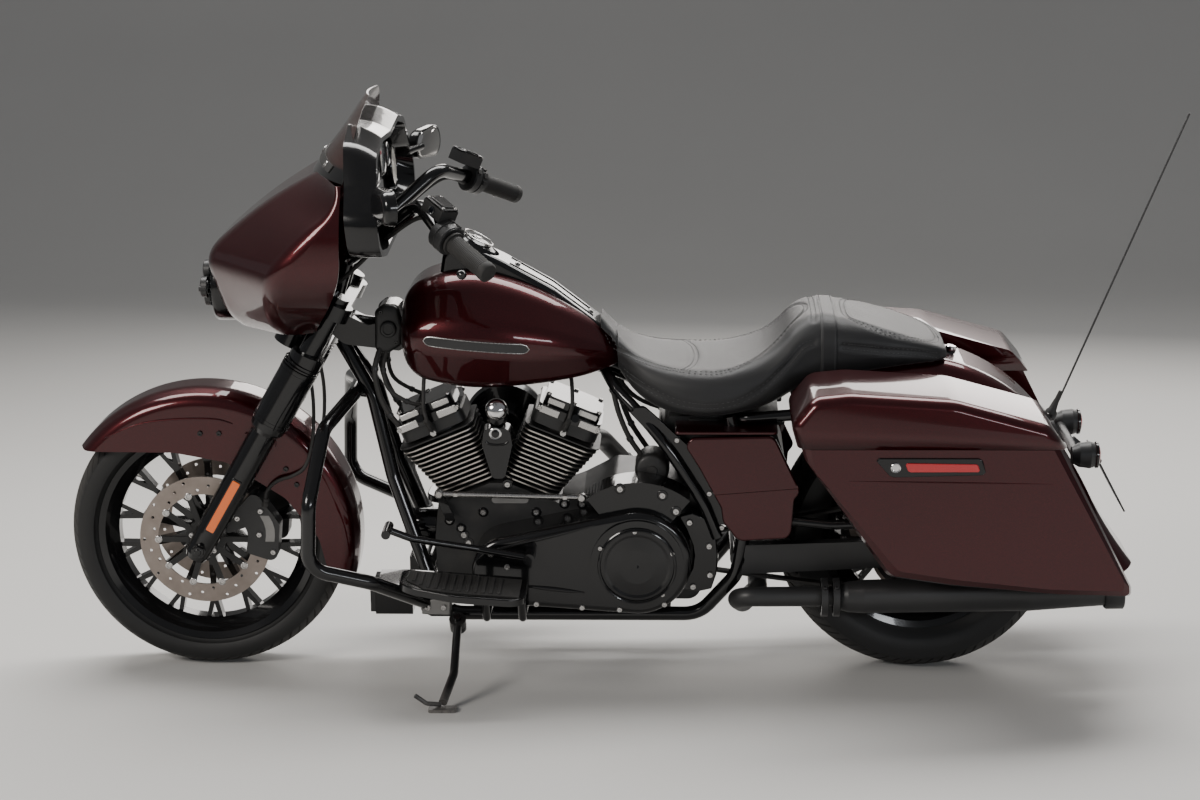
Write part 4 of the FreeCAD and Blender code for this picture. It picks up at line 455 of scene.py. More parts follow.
def lens_finish(name, shade, painted_glow):
    """Ribbed reflector plastic with a faint painted glow of its own, which no lamp inside gives."""
    # Emission_Strength is a painted glow: the lens gives off light though no lamp lights it
    finish = Finish(name, Coat_Weight=1.0, Coat_Roughness=0.03, Emission_Strength=painted_glow)
    facets = finish.cells(420)
    tint = finish.blend((facets * 420).clamped() * 0.6, shade, darker(shade, 0.45))
    return finish.surface(
        Base_Color=tint, Emission_Color=tint, Roughness=0.16 + 0.1 * finish.noise(30, 2),
        Normal=finish.bump(facets, 0.0008, 0.5))


@finish_for("lamp_red")
def amber_lens():
    # the amber lens of the fork reflectors has a painted glow of strength 0.35
    return lens_finish("amber_lens", rgba("amber"), 0.35)


@finish_for("lamp_red")
def red_lens():
    # the red lens of the bag reflectors, rear lenses and gauge pointers has a painted glow of strength 0.12
    return lens_finish("red_lens", rgba("red"), 0.12)


@finish_for("lamp_glass")
def dial_face():
    """Pale gauge face with a faint painted glow of its own; the speaker cones have it too."""
    # Emission_Strength 0.08 is a painted glow: no lamp lights the dials or the speaker cones
    finish = Finish("dial_face", Roughness=0.5, Emission_Strength=0.08)
    tint = finish.blend(finish.noise(90, 3), rgba(0.62, 0.59, 0.53), rgba(0.50, 0.475, 0.43))
    return finish.surface(
        Base_Color=tint, Emission_Color=tint, Normal=finish.bump(finish.noise(900, 2), 0.00003, 0.3))


@finish_for("bright_steel")
def scuffed_black():
    """Black coating of the side stand, worn to metal at its foot."""
    finish = Finish("scuffed_black", Coat_Weight=0.3, Coat_Roughness=0.15)
    worn_up_to = 0.085
    height = finish.parts(finish.place())[2]
    worn = ((worn_up_to - height) * 14).clamped() * (finish.noise(120, 4) * 1.6).clamped()
    return finish.surface(
        Base_Color=finish.blend(worn, rgba(0.010), rgba(0.36, 0.34, 0.32)),
        Metallic=worn, Roughness=0.24 + 0.2 * finish.noise(40, 3))


@finish_for(None)
def pale_floor():
    """Plain pale floor with a faint cloudiness."""
    finish = Finish("pale_floor", Specular_IOR_Level=0.2)
    where = finish.node("ShaderNodeTexCoord", output="Object")
    fine = finish.noise(60, 4, where)
    return finish.surface(
        Base_Color=finish.blend(finish.noise(0.7, 4, where), rgba("floor"), darker(rgba("floor"), 0.93)),
        Roughness=0.62 + 0.1 * fine, Normal=finish.bump(fine, 0.0004, 0.15))


SIXTH = math.radians(60)
# Creases above this angle are softened
EDGE_ANGLE = math.radians(35)
# A turned row on its axis keeps this radius, so that its points stay apart
LEAST_RADIUS = 0.02
# A sheet laid on a skin reaches this far into it
SUNK = 0.8


class Form:
    """A mesh under way in the upright frame, in millimetres."""

    def __init__(self):
        self.mesh = bmesh.new()

    def skin(self, rings, around=True, capped=True):
        """Joins equal rings of points into a skin."""
        rows = [[self.mesh.verts.new(point) for point in ring] for ring in rings]
        count = len(rows[0])
        for first, second in zip(rows, rows[1:]):
            for index in range(count if around else count - 1):
                onward = (index + 1) % count
                self.mesh.faces.new((first[index], first[onward], second[onward], second[index]))
        if capped:
            self.mesh.faces.new(rows[0][::-1])
            self.mesh.faces.new(rows[-1])
        return self

    def turn(self, profile, base, axis, steps=None, capped=True, six_sided=()):
        """Turns rows of distance along the axis and radius; rows named six_sided are hexagons."""
        steps = steps or sizes().round_steps
        axis = Vector(axis).normalized()
        base = Vector(base)
        side = axis.cross(Y_AXIS if abs(axis.y) < 0.9 else X_AXIS).normalized()
        other = axis.cross(side)
        rings = []
        for row, (along, radius) in enumerate(profile):
            ring = []
            for step in range(steps):
                angle = 2 * math.pi * step / steps
                reach = max(radius, LEAST_RADIUS)
                if row in six_sided:
                    reach *= math.cos(SIXTH / 2) / math.cos(angle % SIXTH - SIXTH / 2)
                ring.append(base + axis * along + (side * math.cos(angle) + other * math.sin(angle)) * reach)
            rings.append(ring)
        return self.skin(rings, capped=capped)

    def tube(self, points, radius, steps=12):
        """A round tube through points; radius is one number or one for each point."""
        points = [Vector(point) for point in points]
        radii = radius if isinstance(radius, (list, tuple)) else [radius] * len(points)
        heading = (points[1] - points[0]).normalized()
        side = heading.cross(Z_AXIS if abs(heading.z) < 0.9 else X_AXIS).normalized()
        rings = []
        for index, point in enumerate(points):
            before = points[max(index - 1, 0)]
            after = points[min(index + 1, len(points) - 1)]
            heading = (after - before).normalized()
            side = (side - heading * side.dot(heading)).normalized()
            other = heading.cross(side)
            rings.append([point + (side * across + other * up) * radii[index]
                          for across, up in arc((0, 0), 1, 0, 360, steps)[:-1]])
        return self.skin(rings)

    def plate(self, outline, start, finish, taper=0.0):
        """A plate with an X-Z outline between two values of Y, drawn in by taper at the finish."""
        middle_x = sum(x for x, z in outline) / len(outline)
        middle_z = sum(z for x, z in outline) / len(outline)
        drawn = []
        for x, z in outline:
            reach = Vector((x - middle_x, z - middle_z))
            share = 1 - taper / max(reach.length, 1e-6)
            drawn.append((middle_x + reach.x * share, middle_z + reach.y * share))
        return self.skin([[(x, y, z) for x, z in line] for y, line in ((start, outline), (finish, drawn))])

    def slab(self, centre, across, up, width, height, depth, corner=0.0):
        """A rounded plate: its middle, two directions in its plane, and its sizes."""
        across = Vector(across).normalized()
        up = Vector(up).normalized()
        out = across.cross(up)
        ring = rounded_corners(width, height, corner)
        return self.skin([[Vector(centre) + across * a + up * b + out * c for a, b in ring]
                          for c in (-depth / 2, depth / 2)])

    def screw(self, place, axis, radius=None, height=None):
        """A socket cap screw: rounded head with a six-sided recess."""
        radius = radius or sizes().bolt_radius
        height = height or radius * 0.75
        return self.turn([(-1.0, radius), (height * 0.7, radius), (height, radius * 0.82),
                          (height, radius * 0.52), (height * 0.4, radius * 0.50)],
                         place, axis, 24, six_sided=(3, 4))

    def screws(self, spots, radius, y=None, surface=None, upright=False):
        """Screws at rows of x, z: on a face at y, pointing outward, or where a surface is met from the left.

        Upright ones stand along the surface's own direction.
        """
        for x, z in spots:
            if surface is None:
                self.screw((x, y, z), (0, math.copysign(1, y), 0), radius)
            else:
                place, normal = surface.from_left(x, z)
                self.screw(place, normal if upright else LEFT, radius)
        return self

    def nut(self, place, axis, radius, height):
        """A hexagon nut with the end of its bolt."""
        return self.turn([(-1.0, radius), (height * 0.85, radius), (height, radius * 0.86),
                          (height, radius * 0.5), (height * 1.35, radius * 0.46),
                          (height * 1.4, radius * 0.3)],
                         place, axis, 24, six_sided=(0, 1, 2))

    def mirror(self):
        """Adds the same form on the other side of the machine."""
        mesh = self.mesh
        copies = bmesh.ops.duplicate(mesh, geom=mesh.verts[:] + mesh.edges[:] + mesh.faces[:])["geom"]
        for item in copies:
            if isinstance(item, bmesh.types.BMVert):
                item.co.y = -item.co.y
        bmesh.ops.reverse_faces(mesh, faces=[item for item in copies if isinstance(item, bmesh.types.BMFace)])
        return self

    def done(self, name, finish, body=CHASSIS, sharp=38.0, edge=0.0):
        """Turns the form into a piece on its body, with its finish.

        Creases above the angle sharp, in degrees, show as edges, and edge is the width that softens them.
        """
        bmesh.ops.recalc_face_normals(self.mesh, faces=self.mesh.faces)
        data = bpy.data.meshes.new(name)
        self.mesh.to_mesh(data)
        self.mesh.free()
        data.transform(PARKED)
        data.shade_smooth()
        data.set_sharp_from_angle(angle=math.radians(sharp))
        piece = bpy.data.objects.new(name, data)
        bpy.context.scene.collection.objects.link(piece)
        data.materials.append(finish_named(finish))
        if edge > 0:
            softer = piece.modifiers.new("edge", "BEVEL")
            softer.width = edge / 1000
            softer.segments = 2
            softer.limit_method = "ANGLE"
            softer.angle_limit = EDGE_ANGLE
        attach(piece, body)
        return piece


class Surface:
    """The skin of some solids at rest, to seat small pieces on."""

    def __init__(self, *nodes):
        points = []
        faces = []
        for node in nodes:
            mesh = frame["nodes"][node].data
            start = len(points)
            points += [UPRIGHT @ vert.co for vert in mesh.vertices]
            faces += [[start + index for index in face.vertices] for face in mesh.polygons]
        self.tree = BVHTree.FromPolygons(points, faces)

    def hit(self, origin, direction):
        """Where a line first meets the skin, and the skin's outward direction there."""
        direction = Vector(direction).normalized()
        place, normal, _, _ = self.tree.ray_cast(Vector(origin), direction)
        if place is None:
            raise RuntimeError("no skin in front of %s" % (tuple(origin),))
        if normal.dot(direction) > 0:
            normal = -normal
        return place, normal

    def from_left(self, x, z):
        return self.hit((x, FAR_LEFT, z), Y_AXIS)

    def lay_along(self, form, rows, thick):
        """A thin sheet on the skin; rows of lines, each an origin and a direction."""
        rings = []
        for row in rows:
            met = [self.hit(origin, direction) for origin, direction in row]
            rings.append([place + normal * thick for place, normal in met]
                         + [place - normal * SUNK for place, normal in reversed(met)])
        return form.skin(rings)

    def lay(self, form, rows, thick):
        """The same for rows of x, z seen from the left."""
        rays = [[((x, FAR_LEFT, z), Y_AXIS) for x, z in row] for row in rows]
        return self.lay_along(form, rays, thick)


def arc(middle, radius, start, swept, steps):
    """Points of an arc: its middle, its radius, and its first direction and sweep in degrees."""
    angles = [math.radians(start + swept * step / steps) for step in range(steps + 1)]
    return [(middle[0] + radius * math.cos(angle), middle[1] + radius * math.sin(angle)) for angle in angles]


def rounded_corners(width, height, corner, steps=5):
    """Ring of a rectangle with round corners about its middle."""
    corner = min(corner, width / 2 - 0.01, height / 2 - 0.01)
    signs = ((1, -1), (1, 1), (-1, 1), (-1, -1))
    if corner <= 0:
        return [(a * width / 2, b * height / 2) for a, b in signs[3:] + signs[:3]]
    ring = []
    for turn, (a, b) in enumerate(signs):
        ring += arc((a * (width / 2 - corner), b * (height / 2 - corner)), corner, 90 * turn - 90, 90, steps)
    return ring


def rounded_outline(rows, steps=10):
    """Line of x, z through rows of x, z, corner radius; a corner without a radius stays sharp."""
    line = []
    for index, (x, z, radius) in enumerate(rows):
        here = Vector((x, z))
        if radius <= 0:
            line.append(here)
            continue
        back = (Vector(rows[index - 1][:2]) - here).normalized()
        onward = (Vector(rows[(index + 1) % len(rows)][:2]) - here).normalized()
        half = back.angle(onward) / 2
        middle = here + (back + onward).normalized() * (radius / math.sin(half))
        start = here + back * (radius / math.tan(half)) - middle
        turned = math.pi - 2 * half
        if start.x * onward.y - start.y * onward.x < 0:
            turned = -turned
        for step in range(steps + 1):
            angle = turned * step / steps
            line.append(middle + Vector((start.x * math.cos(angle) - start.y * math.sin(angle),
                                         start.x * math.sin(angle) + start.y * math.cos(angle))))
    return line


def drawn_in(line, amount, seam):
    """An open outline moved inward; its two ends stay at the height of the seam."""
    moved = []
    for index, here in enumerate(line):
        along = (line[min(index + 1, len(line) - 1)] - line[max(index - 1, 0)]).normalized()
        inward = Vector((along.y, -along.x))
        moved.append(here + inward * amount)
    moved[0] = Vector((line[0].x + amount, seam))
    moved[-1] = Vector((line[-1].x - amount, seam))
    return moved


def through(points, per=8):
    """Points on a smooth line through the given ones."""
    points = [Vector(point) for point in points]
    line = []
    for index in range(len(points) - 1):
        before = points[max(index - 1, 0)]
        here = points[index]
        after = points[index + 1]
        beyond = points[min(index + 2, len(points) - 1)]
        for step in range(per):
            t = step / per
            line.append(0.5 * (2 * here + (after - before) * t
                               + (2 * before - 5 * here + 4 * after - beyond) * t ** 2
                               + (3 * here - before - 3 * after + beyond) * t ** 3))
    line.append(points[-1])
    return line


def between(table, value):
    """Rows of a table, first column rising, read smoothly at a value."""
    if value <= table[0][0]:
        return table[0][1:]
    for first, second in zip(table, table[1:]):
        if value <= second[0]:
            share = (value - first[0]) / (second[0] - first[0])
            share = share * share * (3 - 2 * share)
            return [a + (b - a) * share for a, b in zip(first[1:], second[1:])]
    return table[-1][1:]


def bell(distance, width):
    return math.exp(-(distance / width) ** 2)


def on_fork(height, side, half=125.0):
    return FRONT_AXLE + FORK_UP * ((height - FRONT_RADIUS) / FORK_UP.z) + Y_AXIS * (side * half)


def about_axle(axle, degrees, radius, y):
    angle = math.radians(degrees)
    return axle + Vector((radius * math.cos(angle), y, radius * math.sin(angle)))


def operator(cls):
    """Marks a class as one of the add-on's making steps."""
    STEPS.append(cls)
    return cls


STEPS = []


@operator
class CRUISER_OT_stage(bpy.types.Operator):
    """Floor, soft studio light and the camera at the photograph's angle"""
    bl_idname = "cruiser.stage"
    bl_label = "Stage and camera"

    def execute(self, context):
        self.floor()
        self.lights(context)
        self.camera(context)
        return {"FINISHED"}

    def floor(self):
        """Flat floor that curves up far behind."""
        near, far, bend, top, half = -14.0, 7.0, 5.0, 14.0, 26.0
        profile = [(near, 0.0), (far, 0.0)]
        for step in range(1, 13):
            angle = math.radians(90 * step / 12)
            profile.append((far + bend * math.sin(angle), bend - bend * math.cos(angle)))
        profile.append((far + bend, top))
        form = Form().skin([[(x, y, z) for x in (-half, half)] for y, z in profile], around=False,
                           capped=False)
        data = bpy.data.meshes.new("floor")
        form.mesh.to_mesh(data)
        form.mesh.free()
        data.shade_smooth()
        floor = bpy.data.objects.new("floor", data)
        bpy.context.scene.collection.objects.link(floor)
        data.materials.append(finish_named("pale_floor"))

    def lights(self, context):
        # name, place, aim, width, height, power, colour
        table = (
            ("top_softbox", (-0.2, 1.2, 4.2), (0, 0, 0.4), 6.0, 1.5, 300, (1.0, 0.985, 0.965)),
            ("key_softbox", (-3.6, -3.6, 3.0), (-0.2, 0, 0.5), 1.8, 1.4, 150, (1.0, 0.955, 0.90)),
            ("side_strip", (2.8, -4.4, 1.5), (0.3, 0, 0.5), 2.6, 0.4, 50, (0.93, 0.96, 1.0)),
            ("back_softbox", (1.0, 4.6, 2.6), (0, 0, 0.6), 4.6, 1.6, 120, (1.0, 0.96, 0.92)),
        )
        for name, place, aim, width, height, power, colour in table:
            lamp = bpy.data.lights.new(name, "AREA")
            lamp.shape = "RECTANGLE"
            lamp.size = width
            lamp.size_y = height
            lamp.energy = power
            lamp.color = colour
            item = bpy.data.objects.new(name, lamp)
            item.location = place
            item.rotation_euler = (Vector(aim) - Vector(place)).to_track_quat("-Z", "Y").to_euler()
            context.scene.collection.objects.link(item)
        world = bpy.data.worlds.new("studio")
        world.use_nodes = True
        background = world.node_tree.nodes["Background"]
        background.inputs["Color"].default_value = (0.80, 0.82, 0.86, 1)
        background.inputs["Strength"].default_value = 0.22
        context.scene.world = world

    # Camera fitted to the wheels and the road of the photograph: angles in radians, metres from SHIFT
    YAW = -0.03652
    PITCH = 0.16813
    ROLL = -0.00588
    STAND_POINT = Vector((1.1027, -5.5293, 1.5531))

    def camera(self, context):
        level = math.cos(self.PITCH)
        ahead = Vector((math.sin(self.YAW) * level, math.cos(self.YAW) * level, -math.sin(self.PITCH)))
        right = Vector((math.cos(self.YAW), -math.sin(self.YAW), 0))
        up = right.cross(ahead)
        turned_right = right * math.cos(self.ROLL) + up * math.sin(self.ROLL)
        turned_up = up * math.cos(self.ROLL) - right * math.sin(self.ROLL)
        place = SHIFT + self.STAND_POINT
        lens = bpy.data.cameras.new("camera")
        lens.lens = sizes().camera_lens
        lens.sensor_width = 36
        lens.clip_start = 0.05
        camera = bpy.data.objects.new("camera", lens)
        turn = Matrix((turned_right, turned_up, -ahead)).transposed().to_4x4()
        camera.matrix_world = Matrix.Translation(place) @ turn
        context.scene.collection.objects.link(camera)
        context.scene.camera = camera


@operator
class CRUISER_OT_cad_finishes(bpy.types.Operator):
    """Finishes of the solids that show as they are"""
    bl_idname = "cruiser.cad_finishes"
    bl_label = "Finishes of the solids"

    # finish: nodes
    TABLE = {
        "tyre_rubber": "front_tyre rear_tyre",
        "gloss_black": (
            "front_wheel rear_wheel fork_legs triple_clamps handlebar mirrors "
            "inner_fairing headlight frame rocker_boxes primary_cover derby_cover "
            "cam_cover air_cleaner horn_cover tank_console fuel_door engine_guard "
            "floorboards foot_controls"),
        "disc_steel": "front_brake_discs rear_disc_and_pulley",
        "moulded_rubber": "grips drive_belt",
        "satin_black": (
            "hand_controls front_calipers exhaust swingarm shock_absorbers rear_lights "
            "rear_caliper"),
        "wine_paint": (
            "fairing front_fender fuel_tank rear_fender side_covers saddlebag_left "
            "saddlebag_right bag_lid_left bag_lid_right"),
        "smoked_screen": "windshield",
        "wrinkle_black": "engine_case",
        "finned_black": "cylinders",
        "seat_cover": "seat",
        "scuffed_black": "side_stand",
    }

    def execute(self, context):
        for finish, nodes in self.TABLE.items():
            for node in nodes.split():
                item = frame["nodes"][node]
                item.data.materials.clear()
                item.data.materials.append(finish_named(finish))
        return {"FINISHED"}


@operator
class CRUISER_OT_tyres(bpy.types.Operator):
    """Tyres with cut tread"""
    bl_idname = "cruiser.tyres"
    bl_label = "Tyres"

    # node, body, axle, outer radius, width, bead seat radius, crown radius
    TABLE = (
        ("front_tyre", FRONT_WHEEL, FRONT_AXLE, 319.0, 130.0, 241.0, 95.0),
        ("rear_tyre", REAR_WHEEL, REAR_AXLE, 320.0, 180.0, 203.0, 118.0),
    )
    # columns of one pitch: share of the pitch; a long groove lies between the second and third
    # on the left and between the eighth and ninth on the right, and a short one the other way round
    COLUMNS = (0.04, 0.065, 0.145, 0.17, 0.30, 0.42, 0.54, 0.565, 0.645, 0.67, 0.80, 0.92)
    # rows of one half of the tread: share of the half width
    ROWS = (0.03, 0.08, 0.115, 0.20, 0.30, 0.40, 0.49, 0.535, 0.62, 0.70, 0.78, 0.86, 0.905, 0.95)

    def execute(self, context):
        for row in self.TABLE:
            self.tyre(*row)
        return {"FINISHED"}

    def groove(self, column, share, right):
        """Share of the groove's depth at one place of the tread."""
        first = column in (1, 2)
        second = column in (7, 8)
        long = second if right else first
        short = first if right else second
        if long and 0.10 < share < 0.93:
            return 1.0
        if short and 0.51 < share < 0.93:
            return 0.8
        return 0.0

    def profile(self, outer, width, rim, crown):
        """Half of the section from the middle of the tread to the bead: y, radius, share."""
        half = width / 2
        middle = outer - crown
        rows = [(share * half, middle + math.sqrt(crown ** 2 - (share * half) ** 2), share)
                for share in self.ROWS]
        bead = rim + 0.4
        rise = outer - bead
        seat = width * 0.33
        wall = [(half * 0.985, outer - rise * 0.345), (half * 1.0, bead + rise * 0.50),
                (half * 0.985, bead + rise * 0.36), (half * 0.91, bead + rise * 0.255),
                (seat + 9.5, bead + 17), (seat + 4.6, bead + 11.5), (seat + 2.0, bead + 7),
                (seat - 1.7, bead)]
        return rows + [(y, radius, 1.0) for y, radius in wall]

    def tyre(self, node, body, axle, outer, width, rim, crown):
        half_rows = self.profile(outer, width, rim, crown)
        rows = [(-y, radius, share, False) for y, radius, share in reversed(half_rows)]
        rows += [(y, radius, share, True) for y, radius, share in half_rows]
        count = round(2 * math.pi * outer / sizes().tread_pitch)
        rings = []
        for y, radius, share, right in rows:
            ring = []
            for pitch in range(count):
                for column, place in enumerate(self.COLUMNS):
                    turn = (pitch + place + 0.95 * share ** 1.25) / count
                    reach = radius - sizes().tread_depth * self.groove(column, share, right)
                    ring.append(about_axle(axle, 360 * turn, reach, y))
            rings.append(ring)
        form = Form().skin(rings + rings[:1], capped=False)
        bmesh.ops.remove_doubles(form.mesh, verts=form.mesh.verts[:], dist=0.001)
        tyre = form.done(node + "_treaded", "tyre_rubber", body, sharp=32)
        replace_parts(tyre, node)


@operator
class CRUISER_OT_wheel_pieces(bpy.types.Operator):
    """Disc bobbins, hub bolts, tyre valves and axle nuts"""
    bl_idname = "cruiser.wheel_pieces"
    bl_label = "Wheel pieces"

    # name, body, axle, disc's outer face, hub bolt face, bolt circle radius, side
    DISCS = (
        ("front_left", FRONT_WHEEL, FRONT_AXLE, 77.1, 75.6, 33.0, -1),
        ("front_right", FRONT_WHEEL, FRONT_AXLE, 77.1, 75.6, 33.0, 1),
        ("rear_right", REAR_WHEEL, REAR_AXLE, 103.5, 102.0, 33.0, 1),
        ("rear_left", REAR_WHEEL, REAR_AXLE, None, 124.0, 38.0, -1),
    )
    VALVE = ((0, 6.5), (6, 6.0), (9, 4.0), (26, 4.0), (27, 5.2), (36, 5.2), (38, 4.2), (38, 0))

    def execute(self, context):
        for name, body, axle, face, hub, circle, side in self.DISCS:
            out = (0, side, 0)
            bolts = Form()
            for index in range(5):
                bolts.screw(about_axle(axle, 90 + 72 * index, circle, side * hub), out, 6.5)
            bolts.done("hub_bolts_" + name, "bright_steel", body)
            if face is None:
                continue
            bobbins = Form()
            for index in range(10):
                bobbins.turn([(-1, 8.6), (1.4, 8.6), (2.1, 7.6), (2.1, 4.6), (0.9, 4.0), (0.9, 0)],
                             about_axle(axle, 36 * index, 107.5, side * face), out, 20)
            bobbins.done("disc_bobbins_" + name, "bright_steel", body)
        # name, body, axle, radius of its foot, direction in degrees
        for name, body, axle, reach, degrees in (("front", FRONT_WHEEL, FRONT_AXLE, 213.0, 141.0),
                                                 ("rear", REAR_WHEEL, REAR_AXLE, 175.0, 64.0)):
            spot = about_axle(axle, degrees, reach, 0)
            Form().turn(self.VALVE, spot, axle - spot, 16).done("valve_" + name, "bright_steel", body)
        # name, finish, body, axle, distance from the middle, radius, height
        for name, finish, body, axle, out, radius, height in (
                ("front_axle_nuts", "gloss_black", STEERING, FRONT_AXLE, 163.5, 15.5, 6),
                ("rear_axle_nuts", "bright_steel", CHASSIS, REAR_AXLE, 167.5, 17, 7)):
            nuts = Form()
            for side in (-1, 1):
                nuts.nut(axle + Y_AXIS * (side * out), (0, side, 0), radius, height)
            nuts.done(name, finish, body, edge=0.5)
        return {"FINISHED"}


@operator
class CRUISER_OT_fork_pieces(bpy.types.Operator):
    """Fork reflectors, cover rings, caliper bolts, fender trim and brake pipes"""
    bl_idname = "cruiser.fork_pieces"
    bl_label = "Fork pieces"

    def execute(self, context):
        across = Y_AXIS.cross(FORK_UP)
        plates = Form()
        lenses = Form()
        for side in (-1, 1):
            middle = on_fork(424, side) + Y_AXIS * (side * 31.5)
            plates.slab(middle, across, FORK_UP, 25, 142, 5, 4)
            # the amber reflector lenses give off a painted glow from their finish
            lenses.slab(middle + Y_AXIS * (side * 3.2), across, FORK_UP, 19, 134, 4.4, 3)
        plates.done("fork_reflector_frames", "gloss_black", STEERING, edge=0.8)
        lenses.done("fork_reflectors", "amber_lens", STEERING, edge=0.9)
        rings = Form()
        for side in (-1, 1):
            base = FRONT_AXLE + Y_AXIS * (side * 125)
            for along, radius in ((338, 42.8), (346, 42.8), (470, 42.7), (478, 42.7), (486, 42.7),
                                  (494, 42.7)):
                rings.turn([(along, 41.5), (along + 0.6, radius), (along + 4, radius), (along + 4.6, 41.5)],
                           base, FORK_UP, 40, capped=False)
        rings.done("fork_cover_rings", "gloss_black", STEERING)
        self.caliper_pieces()
        self.fender_pieces()
        self.pipes()
        return {"FINISHED"}

    def caliper_pieces(self):
        caliper = Surface("front_calipers", "fork_legs")
        bolts = Form().screws(((134, 395), (129, 339), (159, 297), (80, 376)), 6.5, surface=caliper)
        bolts.mirror().done("caliper_bolts", "bright_steel", STEERING)
        rows = [[(x + 7 * step, z) for step in range(4)]
                for x, z in ((132, 384), (140, 368), (144, 352), (144, 336), (142, 322))]
        caliper.lay(Form(), rows, 1.2).mirror().done("caliper_plates", "cast_grey", STEERING, edge=0.4)

    def fender_pieces(self):
        fender = Surface("front_fender")
        screws = Form().screws(((3, 574), (46, 574), (194, 490), (217, 453)), 6, surface=fender, upright=True)
        screws.mirror().done("front_fender_screws", "gloss_black", STEERING)
        line = []
        for point in through([(78, 0, 596), (34, 0, 607), (-60, 0, 606), (-139, 0, 594), (-216, 0, 562)], 8):
            place, normal = fender.from_left(point.x, point.z)
            line.append(place + normal * 0.3)
        last = len(line) - 1
        crease = Form().tube(line, [1.4 + 1.4 * math.sin(math.pi * (index / last) ** 0.7)
                                    for index in range(last + 1)], 8)
        crease.mirror().done("front_fender_crease", "wine_paint", STEERING)

    def pipes(self):
        route = [(146, -98, 418), (152, -99, 444), (176, -98, 466), (212, -95, 478), (240, -92, 500),
                 (258, -88, 560), (262, -80, 650), (250, -62, 738), (246, -60, 748)]
        pipe = Form().tube(through(route, 6), 4.2, 10)
        pipe.turn([(-2, 9), (8, 9), (9, 7.5), (16, 7), (17, 5)], (146, -98, 408), (0.15, 0, 1), 18)
        pipe.mirror().done("front_brake_pipes", "moulded_rubber", STEERING)


@operator
class CRUISER_OT_fairing_pieces(bpy.types.Operator):
    """Headlight and the band under the screen"""
    bl_idname = "cruiser.fairing_pieces"
    bl_label = "Fairing pieces"

    def execute(self, context):
        self.headlight()
        self.screen_band()
        return {"FINISHED"}

    def headlight(self):
        centre = (46, 0, 903)
        shell = Form().turn([(30, 74.6), (3, 75.2), (-1, 77.5), (-1.6, 80), (2, 83.2), (9, 83.8), (40, 83.8),
                             (58, 70), (99, 44), (99, 0), (96, 0), (56, 66), (34, 74.4)], centre, X_AXIS, 72)
        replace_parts(shell.done("headlight_shell", "gloss_black", STEERING), "headlight")
        bowl = Form().turn([(5, 75.0), (12, 71), (24, 60), (35, 42), (42, 22), (44, 0), (46, 0), (44, 24),
                            (37, 44), (26, 62), (14, 73), (7, 75.1)], centre, X_AXIS, 72, capped=False)
        bowl.done("headlight_bowl", "lamp_metal", STEERING)
        mask = Form().slab((22, 0, 903), Y_AXIS, Z_AXIS, 134, 12, 16, 5)
        lamps = Form()
        for y, z in ((0, 932), (0, 874), (-42, 903), (42, 903)):
            mask.turn([(8, 24), (-4, 23), (-6, 20), (-3, 18), (10, 15)], (22, y, z), X_AXIS, 36, capped=False)
            lamps.turn([(4, 17.5), (-1, 16), (-5, 11), (-7, 5), (-7.5, 0)], (22, y, z), X_AXIS, 36)
        mask.done("headlight_modules", "satin_black", STEERING)
        lamps.done("headlight_lamps", "lamp_metal", STEERING)
        lens = Form().turn([(-5.8, 0), (-5.4, 20), (-3.8, 44), (-1, 64), (3, 75), (5, 75), (1, 64),
                            (-1.8, 44), (-3.4, 20), (-3.8, 0)], centre, X_AXIS, 72)
        lens.done("headlight_lens", "clear_lens", STEERING)

    def screen_band(self):
        half = 212

        def across(y, z):
            """Ray onto the screen from ahead, at the band's curve."""
            return (0, y, z - 8 * (y / half) ** 2), X_AXIS

        screen = Surface("windshield")
        rows = [[across(half * (step / 20 - 1), z) for z in (1198, 1206, 1213)] for step in range(41)]
        screen.lay_along(Form(), rows, 2.2).done("screen_band", "moulded_rubber", STEERING)
        screws = Form()
        for y in (-168, 0, 168):
            place, normal = screen.hit(*across(y, 1205))
            screws.turn([(-1, 9), (1.6, 9), (2.8, 7.6), (2.8, 3), (1.6, 2.6), (1.6, 0)],
                        place + normal * 2, normal)
        screws.done("screen_screws", "bright_steel", STEERING)


